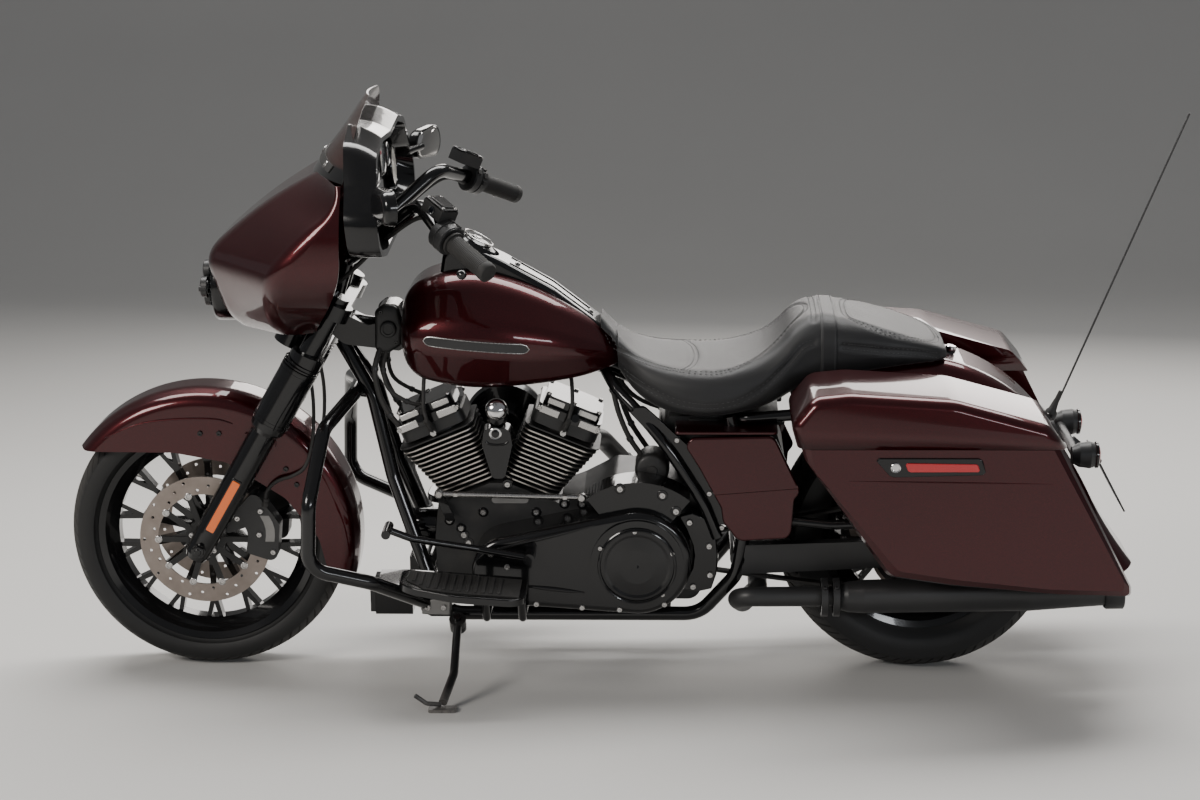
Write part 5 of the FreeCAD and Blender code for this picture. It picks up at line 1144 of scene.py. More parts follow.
@operator
class CRUISER_OT_dash_pieces(bpy.types.Operator):
    """Gauges, speakers and screen of the inner fairing"""
    bl_idname = "cruiser.dash_pieces"
    bl_label = "Dash pieces"

    # y, z, radius of the dial, kind
    DIALS = (
        (-60, 1184, 46, "gauge"), (60, 1184, 46, "gauge"), (-150, 1166, 24, "gauge"),
        (150, 1166, 24, "gauge"), (-252, 1120, 49, "speaker"), (252, 1120, 49, "speaker"),
    )
    TIP = math.radians(-4)

    def tipped(self, x, y, z):
        """A point of the inner fairing, which leans back a little."""
        across = x - 383
        up = z - 1150
        return Vector((383 + across * math.cos(self.TIP) + up * math.sin(self.TIP), y,
                       1150 - across * math.sin(self.TIP) + up * math.cos(self.TIP)))

    def execute(self, context):
        out = Vector((math.cos(self.TIP), 0, -math.sin(self.TIP)))
        upward = out.cross(Y_AXIS)
        bezels, faces, marks, pointers, glass, cones = (Form() for _ in range(6))
        for y, z, radius, kind in self.DIALS:
            base = self.tipped(413, y, z)
            if kind == "speaker":
                bezels.turn([(4, radius + 4), (7, radius + 3), (7, radius - 4), (3, radius - 6)], base, out,
                            48, capped=False)
                cones.turn([(4.5, radius - 5), (5.5, radius - 9), (1.5, radius - 14), (0.8, 17), (3.4, 14),
                            (6, 8), (6.8, 0)],
                           base, out, 48, capped=False)
                continue
            bezels.turn([(4, radius + 4.5), (8, radius + 4), (9.5, radius + 1), (8, radius - 3),
                         (1, radius - 4)],
                        base, out, 48, capped=False)
            faces.turn([(0.6, radius - 1), (1.6, radius - 1), (1.6, 0)], base, out, 48)
            glass.turn([(7.0, radius - 2), (8.4, radius * 0.6), (9, 0)], base, out, 48, capped=False)
            for index in range(25):
                angle = math.radians(-45 + 270 * index / 24)
                arm = Y_AXIS * math.cos(angle) + upward * math.sin(angle)
                long = 0.14 if index % 4 == 0 else 0.07
                spot = base + out * 2.0 + arm * radius * (0.86 - long / 2)
                marks.slab(spot, arm, arm.cross(out), radius * long, 1.6, 0.8)
            arm = (Y_AXIS * -0.62 + upward * -0.78).normalized()
            pointers.slab(base + out * 3.4 + arm * radius * 0.30, arm, arm.cross(out),
                          radius * 0.84, 2.6, 1.0)
            pointers.turn([(0, 5), (4.6, 4.6), (5.4, 3.6), (5.4, 0)], base + out * 1.4, out, 24)
        for form, name, finish in (
                (bezels, "gauge_bezels", "gloss_black"), (cones, "speaker_cones", "dial_face"),
                (faces, "gauge_faces", "dial_face"), (marks, "gauge_marks", "moulded_plastic"),
                (pointers, "gauge_pointers", "red_lens"), (glass, "gauge_glass", "clear_lens")):
            form.done(name, finish, STEERING)
        screen = Form().slab(self.tipped(413.4, 0, 1092), Y_AXIS, upward, 138, 66, 3.6, 5)
        screen.done("dash_screen", "dark_glass", STEERING, edge=0.8)
        keys = Form()
        for index in range(5):
            keys.slab(self.tipped(413.2, -56 + 28 * index, 1057.5), Y_AXIS, upward, 20, 5, 4, 2)
        keys.done("dash_keys", "moulded_rubber", STEERING, edge=0.5)
        return {"FINISHED"}


@operator
class CRUISER_OT_hand_pieces(bpy.types.Operator):
    """Reservoir lids, switches, grip ribs, lever ends and mirror glass"""
    bl_idname = "cruiser.hand_pieces"
    bl_label = "Hand controls and mirrors"

    def execute(self, context):
        inner = Vector((583, 320, 1084))
        outer = Vector((688, 428, 1022))
        heading = (outer - inner).normalized()
        start = outer - heading * 162
        turn = X_AXIS.rotation_difference(heading)
        base = start - heading * 18

        def local(x, y, z):
            return base + turn @ Vector((x, y, z))

        across = turn @ X_AXIS
        side = turn @ Y_AXIS
        up = turn @ Z_AXIS
        lids = Form().slab(local(-7, 0, 54), across, side, 64, 48, 5, 7)
        lids.slab(local(-7, 0, 57.5), across, side, 46, 30, 3, 5)
        lids.mirror().done("reservoir_lids", "gloss_black", STEERING, edge=1.2)
        screws = Form()
        for x, y in ((-32, -17), (18, 17), (-32, 17), (18, -17)):
            screws.screw(local(x, y, 56), up, 3.2, 2)
        screws.mirror().done("reservoir_screws", "bright_steel", STEERING)
        windows = Form().turn([(-1, 9), (2, 9), (3, 7.5), (2.2, 6.5), (2.2, 0)], local(-7, 23, 39), side, 28)
        windows.mirror().done("reservoir_windows", "dark_glass", STEERING)
        rearward = (X_AXIS - heading * heading.x).normalized()
        over = heading.cross(rearward)
        if over.z < 0:
            over = -over
        shells = Form().turn([(2, 31.2), (3, 33), (18, 33.5), (19, 31.6), (21, 31.6), (22, 33.5), (37, 33),
                              (38, 31.2)], start, heading, 44, capped=False)
        shells.mirror().done("switch_shells", "satin_black", STEERING)
        buttons = Form()
        for along, angle, wide in ((9, 10, 12), (9, 42, 12), (29, 2, 14), (29, 34, 10), (29, -28, 10)):
            out = rearward * math.cos(math.radians(angle)) + over * math.sin(math.radians(angle))
            buttons.slab(start + heading * along + out * 34, heading, out.cross(heading), 12, wide, 5, 2.5)
        buttons.mirror().done("switch_buttons", "moulded_rubber", STEERING, edge=0.8)
        ribs = Form()
        grip = outer - heading * 118
        for along in range(12, 108, 4):
            ribs.turn([(along, 19.8), (along + 1.2, 20.7), (along + 2.4, 20.7), (along + 3.4, 19.8)],
                      grip, heading, 36, capped=False)
        ribs.turn([(108, 19.6), (110, 21.2), (122, 21.2), (125, 19), (126, 14), (126, 0)], grip, heading, 36,
                  capped=False)
        ribs.mirror().done("grip_ribs", "moulded_rubber", STEERING)
        tip = start - heading * 14 + Vector((-30, 8, 4)) + heading * 172 + Vector((-18, 14, -6))
        ends = Form().turn([(-8, 6.6), (-4, 9.4), (2, 10.4), (8, 8), (10.6, 0)], tip, heading)
        ends.mirror().done("lever_ends", "gloss_black", STEERING)
        self.mirror_glass()
        return {"FINISHED"}

    def mirror_glass(self):
        spin = Matrix.Rotation(math.radians(-22), 3, "Z")
        centre = Vector((462, 402, 1152))
        glass = Form()
        rim = Form()
        outline = mirror_outline()
        for form, scale, front, back in ((rim, 1.0, 24.5, 28.0), (glass, 0.90, 27.6, 28.8)):
            middle = Vector((0, 0, 3))
            rings = []
            for depth, share in ((front, scale), (back - 0.8, scale), (back, scale * 0.975)):
                rings.append([centre + spin @ Vector((depth, y * share, middle.z + (z - middle.z) * share))
                              for y, z in outline])
            form.skin(rings)
        rim.mirror().done("mirror_rims", "gloss_black", STEERING)
        glass.mirror().done("mirror_glasses", "mirror_glass", STEERING)


def mirror_outline():
    """Rounded outline of a mirror: y, z, from the middle of its head."""
    corners = ((-62, -30, 26), (62, -36, 34), (62, 40, 38), (-62, 34, 32))
    ring = []
    for index, (y, z, radius) in enumerate(corners):
        middle = (y - math.copysign(radius, y), z - math.copysign(radius, z))
        ring += arc(middle, radius, 180 + 90 * index, 90, 8)
    return ring


@operator
class CRUISER_OT_engine_pieces(bpy.types.Operator):
    """Rocker plates, plug leads, horn, covers, screws, plain plaque, heat shields and oil filter"""
    bl_idname = "cruiser.engine_pieces"
    bl_label = "Engine pieces"

    # x, z of the screws on the left of the engine case, its lobe, the primary cover and the derby cover
    CASE_SCREWS = ((563, 372), (640, 392), (760, 392), (824, 412), (864, 412), (696, 458), (605, 319),
                   (595, 338), (589, 354))
    LOBE_SCREWS = ((952, 474), (1046, 459), (1076, 422))
    PRIMARY_SCREWS = ((764, 212), (866, 204), (950, 200), (1050, 212), (700, 300), (664, 330))
    DERBY_SCREWS = ((985, 387), (908, 347), (1068, 336), (1046, 239), (938, 235))

    def execute(self, context):
        for side, name in ((-1, "front"), (1, "rear")):
            self.rocker(side, name)
        self.horn()
        self.rod()
        self.screws()
        self.sprocket_cover()
        self.right_side()
        return {"FINISHED"}

    def rocker(self, side, name):
        up = Vector((side * math.sin(CYLINDER_LEAN), 0, math.cos(CYLINDER_LEAN)))
        outward = Vector((side * up.z, 0, -side * up.x))

        def at(height, out, y):
            return CRANK + up * height + outward * out + Y_AXIS * y

        plates = Form()
        # height, middle, half width, length, plate height
        for height, out, half, long, tall in ((394, -38, 78, 46, 17), (394, 56, 78, 46, 17),
                                              (415, -30, 66, 40, 14), (415, 46, 66, 44, 14)):
            for across in (-1, 1):
                plates.slab(at(height, out, across * (half + 0.6)), outward, up, long, tall, 3.4, 2.5)
        plates.done("rocker_plates_" + name, "bright_steel", edge=1.2)
        bolts = Form()
        for out in (-62, 79):
            for across in (-1, 1):
                bolts.screw(at(394, out, across * 78), Y_AXIS * across, 5.5)
        for out in (-52, 8, 68):
            for across in (-1, 1):
                bolts.screw(at(426, out, across * 54), up, 5.5)
        bolts.done("rocker_bolts_" + name, "bright_steel")
        lead = Form()
        route = [at(366, 8, -76), at(370, 8, -92), at(386, 8, -101), at(410, 6, -98), at(432, 2, -82)]
        if side < 0:
            route += [Vector((512, -58, 706)), Vector((524, -26, 742)), Vector((530, -10, 766))]
        else:
            route += [Vector((842, -56, 688)), Vector((836, -26, 702)), Vector((830, -10, 722))]
        lead.tube(through(route, 6), 4.6, 12)
        lead.turn([(0, 8.5), (14, 8.5), (18, 7.4), (42, 6.6), (46, 5)], at(366, 8, -78),
                  at(392, 8, -102) - at(366, 8, -78), 20)
        lead.done("plug_lead_" + name, "moulded_rubber")
        Form().nut(at(362, 8, -84), LEFT, 8.5, 8).done("spark_plug_" + name, "bright_steel")

    def horn(self):
        dome = Form().turn([(0, 25), (5, 24.6), (11, 22), (16, 16.5), (19, 9), (20, 0)], (677, -120, 640),
                           (0, -0.94, 0.34), 40)
        dome.done("horn_dome", "chrome")
        ring = Form().turn([(-2, 14), (1.6, 14), (2.6, 12.6), (2.2, 11), (0.8, 10.6), (0.8, 0)],
                           (674, -126.3, 586), LEFT, 40)
        ring.done("horn_ring", "chrome")
        puck = Form().turn([(0, 9.6), (2.6, 9.4), (3.2, 8.4), (3.2, 0)], (674, -126.5, 586), LEFT, 32)
        puck.done("horn_puck", "gloss_black")
        horn = Surface("horn_cover")
        line = [horn.from_left(x, z)[0]
                for x, z in ((652, 568), (660, 562), (677, 560), (694, 562), (702, 568))]
        Form().tube(through(line, 5), 2.6, 10).done("horn_lip", "gloss_black")

    def rod(self):
        sleeve = Form().tube([(552, -117, 441.8), (855, -117, 434.2)], 6.2, 20)
        for x, z in ((543, 442), (864, 434)):
            sleeve.turn([(-9, 0), (-9, 7), (-5, 10.5), (5, 10.5), (9, 7), (9, 0)], (x, -117, z), Y_AXIS,
                        capped=False)
        for x, z in ((576, 441.2), (822, 435)):
            sleeve.turn([(0, 7.8), (9, 7.8)], (x, -117, z), (1, 0, -0.025), six_sided=(0, 1))
        sleeve.done("shift_rod_sleeve", "bright_steel")

    def screws(self):
        case = Surface("engine_case")
        cover = Surface("primary_cover")
        derby = Surface("derby_cover", "primary_cover")
        heads = Form()
        for surface, spots, radius in ((case, self.CASE_SCREWS, 7.0), (cover, self.LOBE_SCREWS, 7.5),
                                       (cover, self.PRIMARY_SCREWS, 6.2), (derby, self.DERBY_SCREWS, 5.2)):
            heads.screws(spots, radius, surface=surface)
        heads.done("case_screws", "bright_steel")
        seats = Form()
        for surface, spots in ((cover, self.LOBE_SCREWS), (case, self.CASE_SCREWS)):
            for spot in spots:
                seats.turn([(-3, 12.5), (0.4, 12), (1.4, 10.8), (1.4, 7.2), (0.2, 7)],
                           surface.from_left(*spot)[0], LEFT, 28, capped=False)
        seats.done("screw_seats", "gloss_black")
        ring = Form().turn([(-1, 82), (1.6, 82.6), (2.4, 84.5), (1.6, 86.4), (-1, 87)], (990, -221.4, 306),
                           LEFT, 96, capped=False)
        ring.done("derby_ring", "gloss_black")
        outline = arc((736, 422), 8.5, -90, 180, 8) + arc((667, 422), 8.5, 90, 180, 8)
        Form().plate(outline, -94.5, -98.4, 1.2).done("case_plaque", "cast_grey", edge=0.5)
        starter = Form().turn([(0, 39), (58, 39), (66, 36.5), (70, 31), (71, 12), (73, 11), (74, 0)],
                              (1022, -22, 489), LEFT, 48)
        starter.done("starter_end", "wrinkle_black")
        ribs = Form()
        for start, finish in (((664, 338), (896, 398)), ((733, 256), (872, 240))):
            line = [cover.from_left(start[0] + (finish[0] - start[0]) * step / 24,
                                    start[1] + (finish[1] - start[1]) * step / 24)[0] for step in range(25)]
            ribs.tube(line, [1.0 + 4.2 * math.sin(math.pi * (step + 1) / 26) for step in range(25)], 12)
        ribs.done("primary_ridges", "gloss_black")

    def sprocket_cover(self):
        outline = [(1082, 402), (1098, 372), (1112, 335), (1114, 306), (1112, 275), (1096, 240), (1086, 226),
                   (1120, 218), (1156, 226), (1168, 262), (1172, 306), (1164, 360), (1146, 396), (1112, 410)]
        cover = Form().plate(outline, -137, -147, 3)
        for x, z in ((1106, 386), (1114, 234), (1150, 306)):
            cover.turn([(0, 8), (40, 8)], (x, -138, z), Y_AXIS, 20)
        cover.done("sprocket_cover", "gloss_black", edge=2)
        bolts = Form().screws(((1106, 386), (1150, 330), (1152, 262), (1114, 234)), 7, y=-147)
        bolts.done("sprocket_cover_bolts", "bright_steel")

    def right_side(self):
        ring = Form().turn([(-2, 74), (1.4, 74.6), (2.4, 72), (1.2, 69)], (677, 200.3, 536), Y_AXIS, 72,
                           capped=False)
        ring.turn([(-2, 22), (2, 21.4), (3, 19), (2, 16.5), (2, 0)], (677, 200.3, 536), Y_AXIS, 40)
        ring.done("air_cleaner_trim", "chrome")
        bolts = Form()
        cam = Surface("cam_cover")
        for x, z in ((566, 300), (600, 244), (677, 226), (754, 244), (790, 300)):
            bolts.screw(cam.hit((x, FAR_RIGHT, z), LEFT)[0], Y_AXIS, 6)
        for index in range(3):
            bolts.screw(about_axle(Vector((677, 0, 536)), 90 + 120 * index, 52, 200.3), Y_AXIS, 6)
        bolts.done("right_side_screws", "bright_steel")
        self.gearbox_cover()
        self.heat_shields()
        self.oil_filter()

    def gearbox_cover(self):
        """Cover of the gear case's right end, with the round clutch release cover and the filler plug."""
        outline = rounded_outline([(872, 300, 26), (880, 412, 34), (950, 440, 30), (1086, 440, 40),
                                   (1118, 372, 30), (1116, 276, 34), (1076, 220, 30), (900, 220, 30)], 5)
        cover = Form().plate(outline, 93, 103, 3)
        cover.turn([(0, 76), (12, 75), (20, 70), (24, 62), (25, 0)], (990, 98, 322), Y_AXIS, 72)
        for x, z, length in ((905, 322, 52), (1086, 322, 46)):
            cover.slab((x, 104, z), X_AXIS, Z_AXIS, length, 9, 8, 4)
        middle = Vector((990, 0, 322))
        for degrees in (55, 90, 125):
            spot = about_axle(middle, degrees, 93, 104)
            out = spot - Vector((990, 104, 322))
            cover.slab(spot, out, Y_AXIS.cross(out), 26, 8, 8, 3.5)
        cover.done("gearbox_cover", "wrinkle_black", edge=1.6)
        heads = Form().screws(((888, 300), (892, 400), (950, 427), (1082, 427), (1104, 370), (1102, 282),
                               (1070, 234), (980, 233), (902, 234)), 6.5, y=103)
        for index in range(6):
            heads.screw(about_axle(middle, 30 + 60 * index, 66, 119), Y_AXIS, 5.5)
        heads.done("gearbox_screws", "bright_steel")
        plug = Form().turn([(0, 19), (9, 19), (11, 17), (11, 9), (3, 8.6), (3, 0)], (1098, 95, 452),
                           (0, 1, 0.35), 48, six_sided=(3, 4))
        plug.done("oil_filler_plug", "chrome")

    def heat_shields(self):
        """Slotted shields round the pipes, each on two screw clamps."""
        shields = Form()
        clamps = Form()
        runs = (
            ((468, 190, 318), (472, 194, 284), (488, 196, 256), (520, 197, 240), (566, 196, 236)),
            ((778, 198.6, 227), (830, 199.2, 225), (882, 199.8, 222.8)),
            ((946, 183, 436), (956, 189, 404), (968, 193, 366), (978, 197, 334)),
        )
        for run in runs:
            line = through(run, 6)
            last = len(line) - 1
            shields.tube(line, [25.2] + [26.6] * (last - 1) + [25.2], 32)
            for index, onward in ((2, 3), (last - 2, last - 1)):
                heading = (line[onward] - line[index]).normalized()
                clamps.turn([(-6, 26.0), (-5, 28.2), (5, 28.2), (6, 26.0)], line[index], heading, 40,
                            capped=False)
                out = (Y_AXIS - heading * heading.y).normalized()
                clamps.slab(line[index] + out * 30, heading, out.cross(heading), 11, 17, 6, 2)
        shields.done("heat_shields", "satin_black", edge=0.6)
        clamps.done("heat_shield_clamps", "bright_steel", edge=0.4)

    def oil_filter(self):
        """Screwed-on oil filter ahead of the engine case."""
        # distance ahead of the seat, radius, depth of the flutes
        profile = ((-4, 30, 0), (2, 37, 0), (6, 38, 0), (54, 38, 0), (56, 37.2, 1.2), (70, 36.4, 1.6),
                   (76, 33, 0.6), (79, 26, 0), (79.5, 0.1, 0))
        steps = 96
        rings = []
        for along, radius, flute in profile:
            ring = []
            for step in range(steps):
                angle = 2 * math.pi * step / steps
                reach = radius - flute * (step % 8 < 4)
                ring.append((531 - along, math.cos(angle) * reach, 332 + math.sin(angle) * reach))
            rings.append(ring)
        Form().skin(rings).done("oil_filter", "gloss_black")


@operator
class CRUISER_OT_frame_pieces(bpy.types.Operator):
    """Battery box, side frames, neck covers and clipped wire looms"""
    bl_idname = "cruiser.frame_pieces"
    bl_label = "Frame pieces"

    def execute(self, context):
        outline = rounded_outline([(1012, 626, 12), (1318, 626, 14), (1318, 520, 12), (1290, 446, 16),
                                   (1176, 446, 16), (1150, 512, 20), (1084, 566, 16)], 4)
        box = Form().plate(outline, -94, 94)
        for x in (1186, 1214, 1242, 1270):
            for side in (-1, 1):
                box.slab((x, side * 95, 524), X_AXIS, Z_AXIS, 9, 116, 5, 4)
        box.done("battery_box", "moulded_plastic", edge=3)
        lid = Form()
        for side in (-1, 1):
            lid.slab((1211, side * 95, 606), X_AXIS, Z_AXIS, 214, 15, 6, 5)
            lid.slab((1250, side * 98, 604), X_AXIS, Z_AXIS, 22, 34, 5, 5)
        lid.done("battery_strap", "moulded_rubber", edge=1.2)
        shelf = Form()
        for side in (-1, 1):
            shelf.slab((1187, side * 140, 604.5), X_AXIS, Y_AXIS, 226, 96, 7, 10)
        shelf.done("side_cover_shelves", "wine_paint", edge=2)
        self.side_frames()
        self.neck()
        self.looms()
        return {"FINISHED"}

    def side_frames(self):
        """Black plates and tubes from under the tank to the swingarm's pivot."""
        outline = rounded_outline([(952, 664, 8), (1008, 652, 20), (1102, 566, 30), (1168, 452, 24),
                                   (1196, 356, 12), (1164, 348, 14), (1122, 440, 24), (1056, 548, 30)], 5)
        plates = Form().plate(outline, -134, -142, 3)
        for x, z in ((1078, 576), (1140, 500)):
            plates.turn([(0, 9), (46, 9)], (x, -136, z), Y_AXIS, 20)
        plates.tube(through([(918, -30, 706), (944, -78, 676), (992, -118, 634), (1052, -146, 566),
                             (1108, -151, 480), (1142, -152, 420), (1168, -148, 352)], 6), 13, 24)
        plates.mirror().done("side_frames", "gloss_black", edge=1.2)
        bolts = Form().screws(((1078, 576), (1150, 452), (1178, 372)), 6, y=-141.5)
        bolts.mirror().done("side_frame_screws", "bright_steel")

    def neck(self):
        """Moulded covers on both sides of the neck, each with a round cap."""
        outline = rounded_outline([(400, 764, 14), (402, 846, 16), (422, 862, 16), (454, 858, 18),
                                   (466, 812, 22), (460, 768, 14), (430, 748, 18), (404, 750, 14)], 5)
        middle_x, middle_z = 433, 806
        domed = ((-30, 1.0), (-37, 1.0), (-41, 0.95), (-43.4, 0.86), (-44.6, 0.7), (-45, 0.4))
        rings = [[(middle_x + (x - middle_x) * share, y, middle_z + (z - middle_z) * share)
                  for x, z in outline] for y, share in domed]
        cover = Form().skin(rings)
        cover.turn([(0, 19), (7, 18.6), (9, 16.5), (9, 12), (6.5, 11), (6.5, 0)], (432, -43, 806), LEFT, 44)
        cover.mirror().done("neck_covers", "moulded_plastic", sharp=44)
        Form().screws(((416, 844), (448, 774)), 5, y=-42).mirror().done("neck_cover_screws", "gloss_black")

    def looms(self):
        """Sleeved wires clipped along the frame, fixed at both ends."""
        form = Form()
        clips = Form()
        runs = (
            (((412, -38, 762), (400, -54, 716), (408, -62, 664), (432, -66, 612), (470, -58, 566)), 6.2),
            (((426, -38, 760), (418, -46, 712), (430, -50, 668), (470, -52, 640), (508, -46, 628)), 4.6),
            (((916, -40, 706), (934, -58, 668), (948, -66, 616), (972, -62, 556), (1010, -56, 498)), 6.0),
            (((924, -34, 700), (950, -44, 660), (984, -50, 622), (1040, -56, 596), (1106, -60, 588)), 5.0),
        )
        for run, radius in runs:
            line = through(run, 8)
            form.tube(line, [radius * (1.06 if index % 2 else 1.0) for index in range(len(line))], 14)
            for index in (8, 24):
                heading = line[index + 1] - line[index]
                clips.turn([(-5, radius), (-4, radius + 2.2), (4, radius + 2.2), (5, radius)], line[index],
                           heading, 24, capped=False)
        form.mirror().done("wire_looms", "moulded_rubber")
        clips.mirror().done("loom_clips", "moulded_plastic")


@operator
class CRUISER_OT_tank_pieces(bpy.types.Operator):
    """Plain tank strips, console trim and the ring round the fuel door"""
    bl_idname = "cruiser.tank_pieces"
    bl_label = "Tank pieces"

    def execute(self, context):
        tank = Surface("fuel_tank")
        strip = Form()
        upper = []
        lower = []
        rows = []
        steps = 40
        for step in range(steps + 1):
            share = step / steps
            x = 523 + sizes().strip_length * share
            middle = 809.5 - 0.085 * (x - 523)
            past = max(0.0, abs(2 * share - 1) - 0.8) / 0.2
            half = 10.5 * min(1.0, math.sqrt(max(0.0, 1 - past ** 2)) + 0.02)
            rows.append([(x, middle + half * part) for part in (-1, -0.5, 0, 0.5, 1)])
            for line, sign in ((upper, 1), (lower, -1)):
                place, normal = tank.from_left(x, middle + half * sign)
                line.append(place + normal * 1.2)
        tank.lay(strip, rows, 1.5)
        strip.mirror().done("tank_strips", "satin_black")
        edges = Form().tube(upper + lower[::-1] + upper[:1], 1.15, 8)
        edges.mirror().done("tank_strip_edges", "bright_steel")
        console = Surface("tank_console")
        screws = Form()
        for x in (722, 884):
            screws.screw(*console.hit((x, 0, FAR_UP), DOWN), 6)
        screws.done("console_screws", "bright_steel")
        line = [console.hit((706 + (890 - 706) * step / 48, -30 + 10 * step / 48, FAR_UP), DOWN)[0]
                for step in range(49)]
        Form().tube(line, 2.2, 10).mirror().done("console_trim", "gloss_black")
        door = Surface("fuel_door")
        centre, up = door.hit((636, 0, FAR_UP), DOWN)
        ring = Form().turn([(-1.5, 37), (0.8, 36.6), (1.4, 35), (0.8, 33.4), (-1.5, 33)], centre, up, 64,
                           capped=False)
        ring.turn([(-1, 8), (1.2, 7.6), (1.8, 6.4), (1.0, 5.6), (1.0, 0)], centre, up, 32)
        ring.done("fuel_door_ring", "bright_steel", "fuel_door_body")
        return {"FINISHED"}


@operator
class CRUISER_OT_seat(bpy.types.Operator):
    """Stitched seat with its strap"""
    bl_idname = "cruiser.seat"
    bl_label = "Seat"

    # x of the first and last ring, rings after the first, points of a ring
    NOSE = 908.5
    TAIL = 1673.5
    STATIONS = 200
    AROUND = 150
    # seams seen from above: x, y
    TOP_SEAMS = (
        ((925, -60), (1000, -112), (1100, -142), (1180, -146), (1240, -122), (1290, -92), (1340, -66),
         (1362, -30), (1366, 0)),
        ((1092, -140), (1112, -90), (1120, -40), (1122, 0)),
        ((1448, 0), (1450, -60), (1466, -98), (1530, -122), (1600, -112), (1646, -70), (1660, 0)),
        ((1380, 0), (1380, -60), (1378, -110)),
    )
    # seams seen from the left: x, z
    SIDE_SEAMS = (
        ((960, 722), (1020, 694), (1100, 668), (1192, 668), (1262, 700), (1318, 752), (1352, 790),
         (1378, 800)),
        ((1440, 792), (1530, 782), (1600, 774), (1650, 762)),
    )

    def execute(self, context):
        seat = Surface("seat")
        lines = []
        for spots in self.TOP_SEAMS:
            lines.append([seat.hit((point.x, point.y, ABOVE_SEAT), DOWN)
                          for point in through([(x, y, 0) for x, y in spots], 14)])
        for spots in self.SIDE_SEAMS:
            lines.append([seat.from_left(point.x, point.z)
                          for point in through([(x, 0, z) for x, z in spots], 14)])
        self.pad(seat, lines)
        self.threads(lines)
        self.strap(seat)
        place, normal = Surface("rear_fender").hit((1690, 0, ABOVE_FENDER), DOWN)
        tab = Form().slab(place + Vector((-22, 0, 2)), X_AXIS, Y_AXIS, 66, 30, 4, 8)
        tab.done("seat_tab", "gloss_black", edge=0.8)
        nut = [(0, 11), (2, 12.5), (12, 12.5), (14, 10), (14, 0)]
        Form().turn(nut, place + Vector((0, 0, 3)), normal, 32).done("seat_nut", "chrome")
        return {"FINISHED"}

    def ring(self, seat, x):
        """The seat's outline at one x, by rays out of its middle."""
        top = seat.hit((x, 0, ABOVE_SEAT), DOWN)[0].z
        foot = seat.hit((x, 0, 400), (0, 0, 1))[0].z
        middle = Vector((x, 0, (top + foot) / 2))
        points = []
        for step in range(self.AROUND):
            angle = 2 * math.pi * step / self.AROUND
            points.append(seat.hit(middle, (0, math.sin(angle), math.cos(angle)))[0])
        return points

    def pad(self, seat, lines):
        marks = [place for line in lines for place, _ in line]
        marks += [Vector((place.x, -place.y, place.z)) for place in marks]
        near = KDTree(len(marks))
        for index, place in enumerate(marks):
            near.insert(place, index)
        near.balance()
        rings = []
        for station in range(self.STATIONS + 1):
            share = station / self.STATIONS
            points = self.ring(seat, self.NOSE + (self.TAIL - self.NOSE) * share)
            middle = sum(points, Vector()) / len(points)
            drawn = []
            for point in points:
                gap = near.find(point)[2]
                # sunk at the seam, a little raised beside it
                sink = sizes().seam_depth * bell(gap, 5.0) - 0.9 * bell(gap - 13, 7.0)
                drawn.append(point + (middle - point).normalized() * sink)
            rings.append(drawn)
        for end in (0, -1):
            middle = sum(rings[end], Vector()) / len(rings[end])
            smaller = [middle + (point - middle) * 0.55 + X_AXIS * (-1.2 if end == 0 else 1.2)
                       for point in rings[end]]
            rings.insert(0 if end == 0 else len(rings), smaller)
        piece = Form().skin(rings).done("seat_padded", "seat_cover", sharp=70)
        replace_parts(piece, "seat")

    def threads(self, lines):
        form = Form()
        for line in lines:
            travelled = 0.0
            for (first, up), (second, _) in zip(line, line[1:]):
                heading = second - first
                if heading.length < 1e-6:
                    continue
                heading.normalize()
                side = heading.cross(up).normalized()
                travelled += (second - first).length
                if travelled < sizes().stitch_pitch:
                    continue
                travelled = 0.0
                for offset in (-5.2, 5.2):
                    middle = first + side * offset + up * 0.25
                    half = heading * (sizes().stitch_length / 2)
                    form.tube([middle - half - up * 0.7, middle - half * 0.5, middle + half * 0.5,
                               middle + half - up * 0.7], 0.62, 6)
        form.mirror().done("seat_stitches", "thread", sharp=60)

    def strap(self, seat):
        """Passenger's strap over the seat, with a row of stitches on each edge."""
        height, reach, thick = 758, math.radians(118), 3.2
        columns = (1393, 1395, 1401, 1411, 1421, 1427, 1429)
        rings = []
        for step in range(61):
            angle = reach * (step / 30 - 1)
            out = Vector((0, math.sin(angle), math.cos(angle)))
            met = [seat.hit((x, 0, height), out)[0] for x in columns]
            rings.append([place + out * (thick if 0 < index < 6 else thick / 2)
                          for index, place in enumerate(met)]
                         + [place - out * 1.5 for place in reversed(met)])
        Form().skin(rings).done("seat_strap", "seat_cover", sharp=50)
        form = Form()
        for x in (1398, 1424):
            for step in range(2, 118):
                angle = reach * (step / 60 - 1)
                out = Vector((0, math.sin(angle), math.cos(angle)))
                along = Vector((0, math.cos(angle), -math.sin(angle)))
                place = seat.hit((x, 0, height), out)[0] + out * thick
                form.tube([place - along * 1.9 - out * 0.5, place, place + along * 1.9 - out * 0.5], 0.6, 6)
        form.done("seat_strap_stitches", "thread", sharp=60)


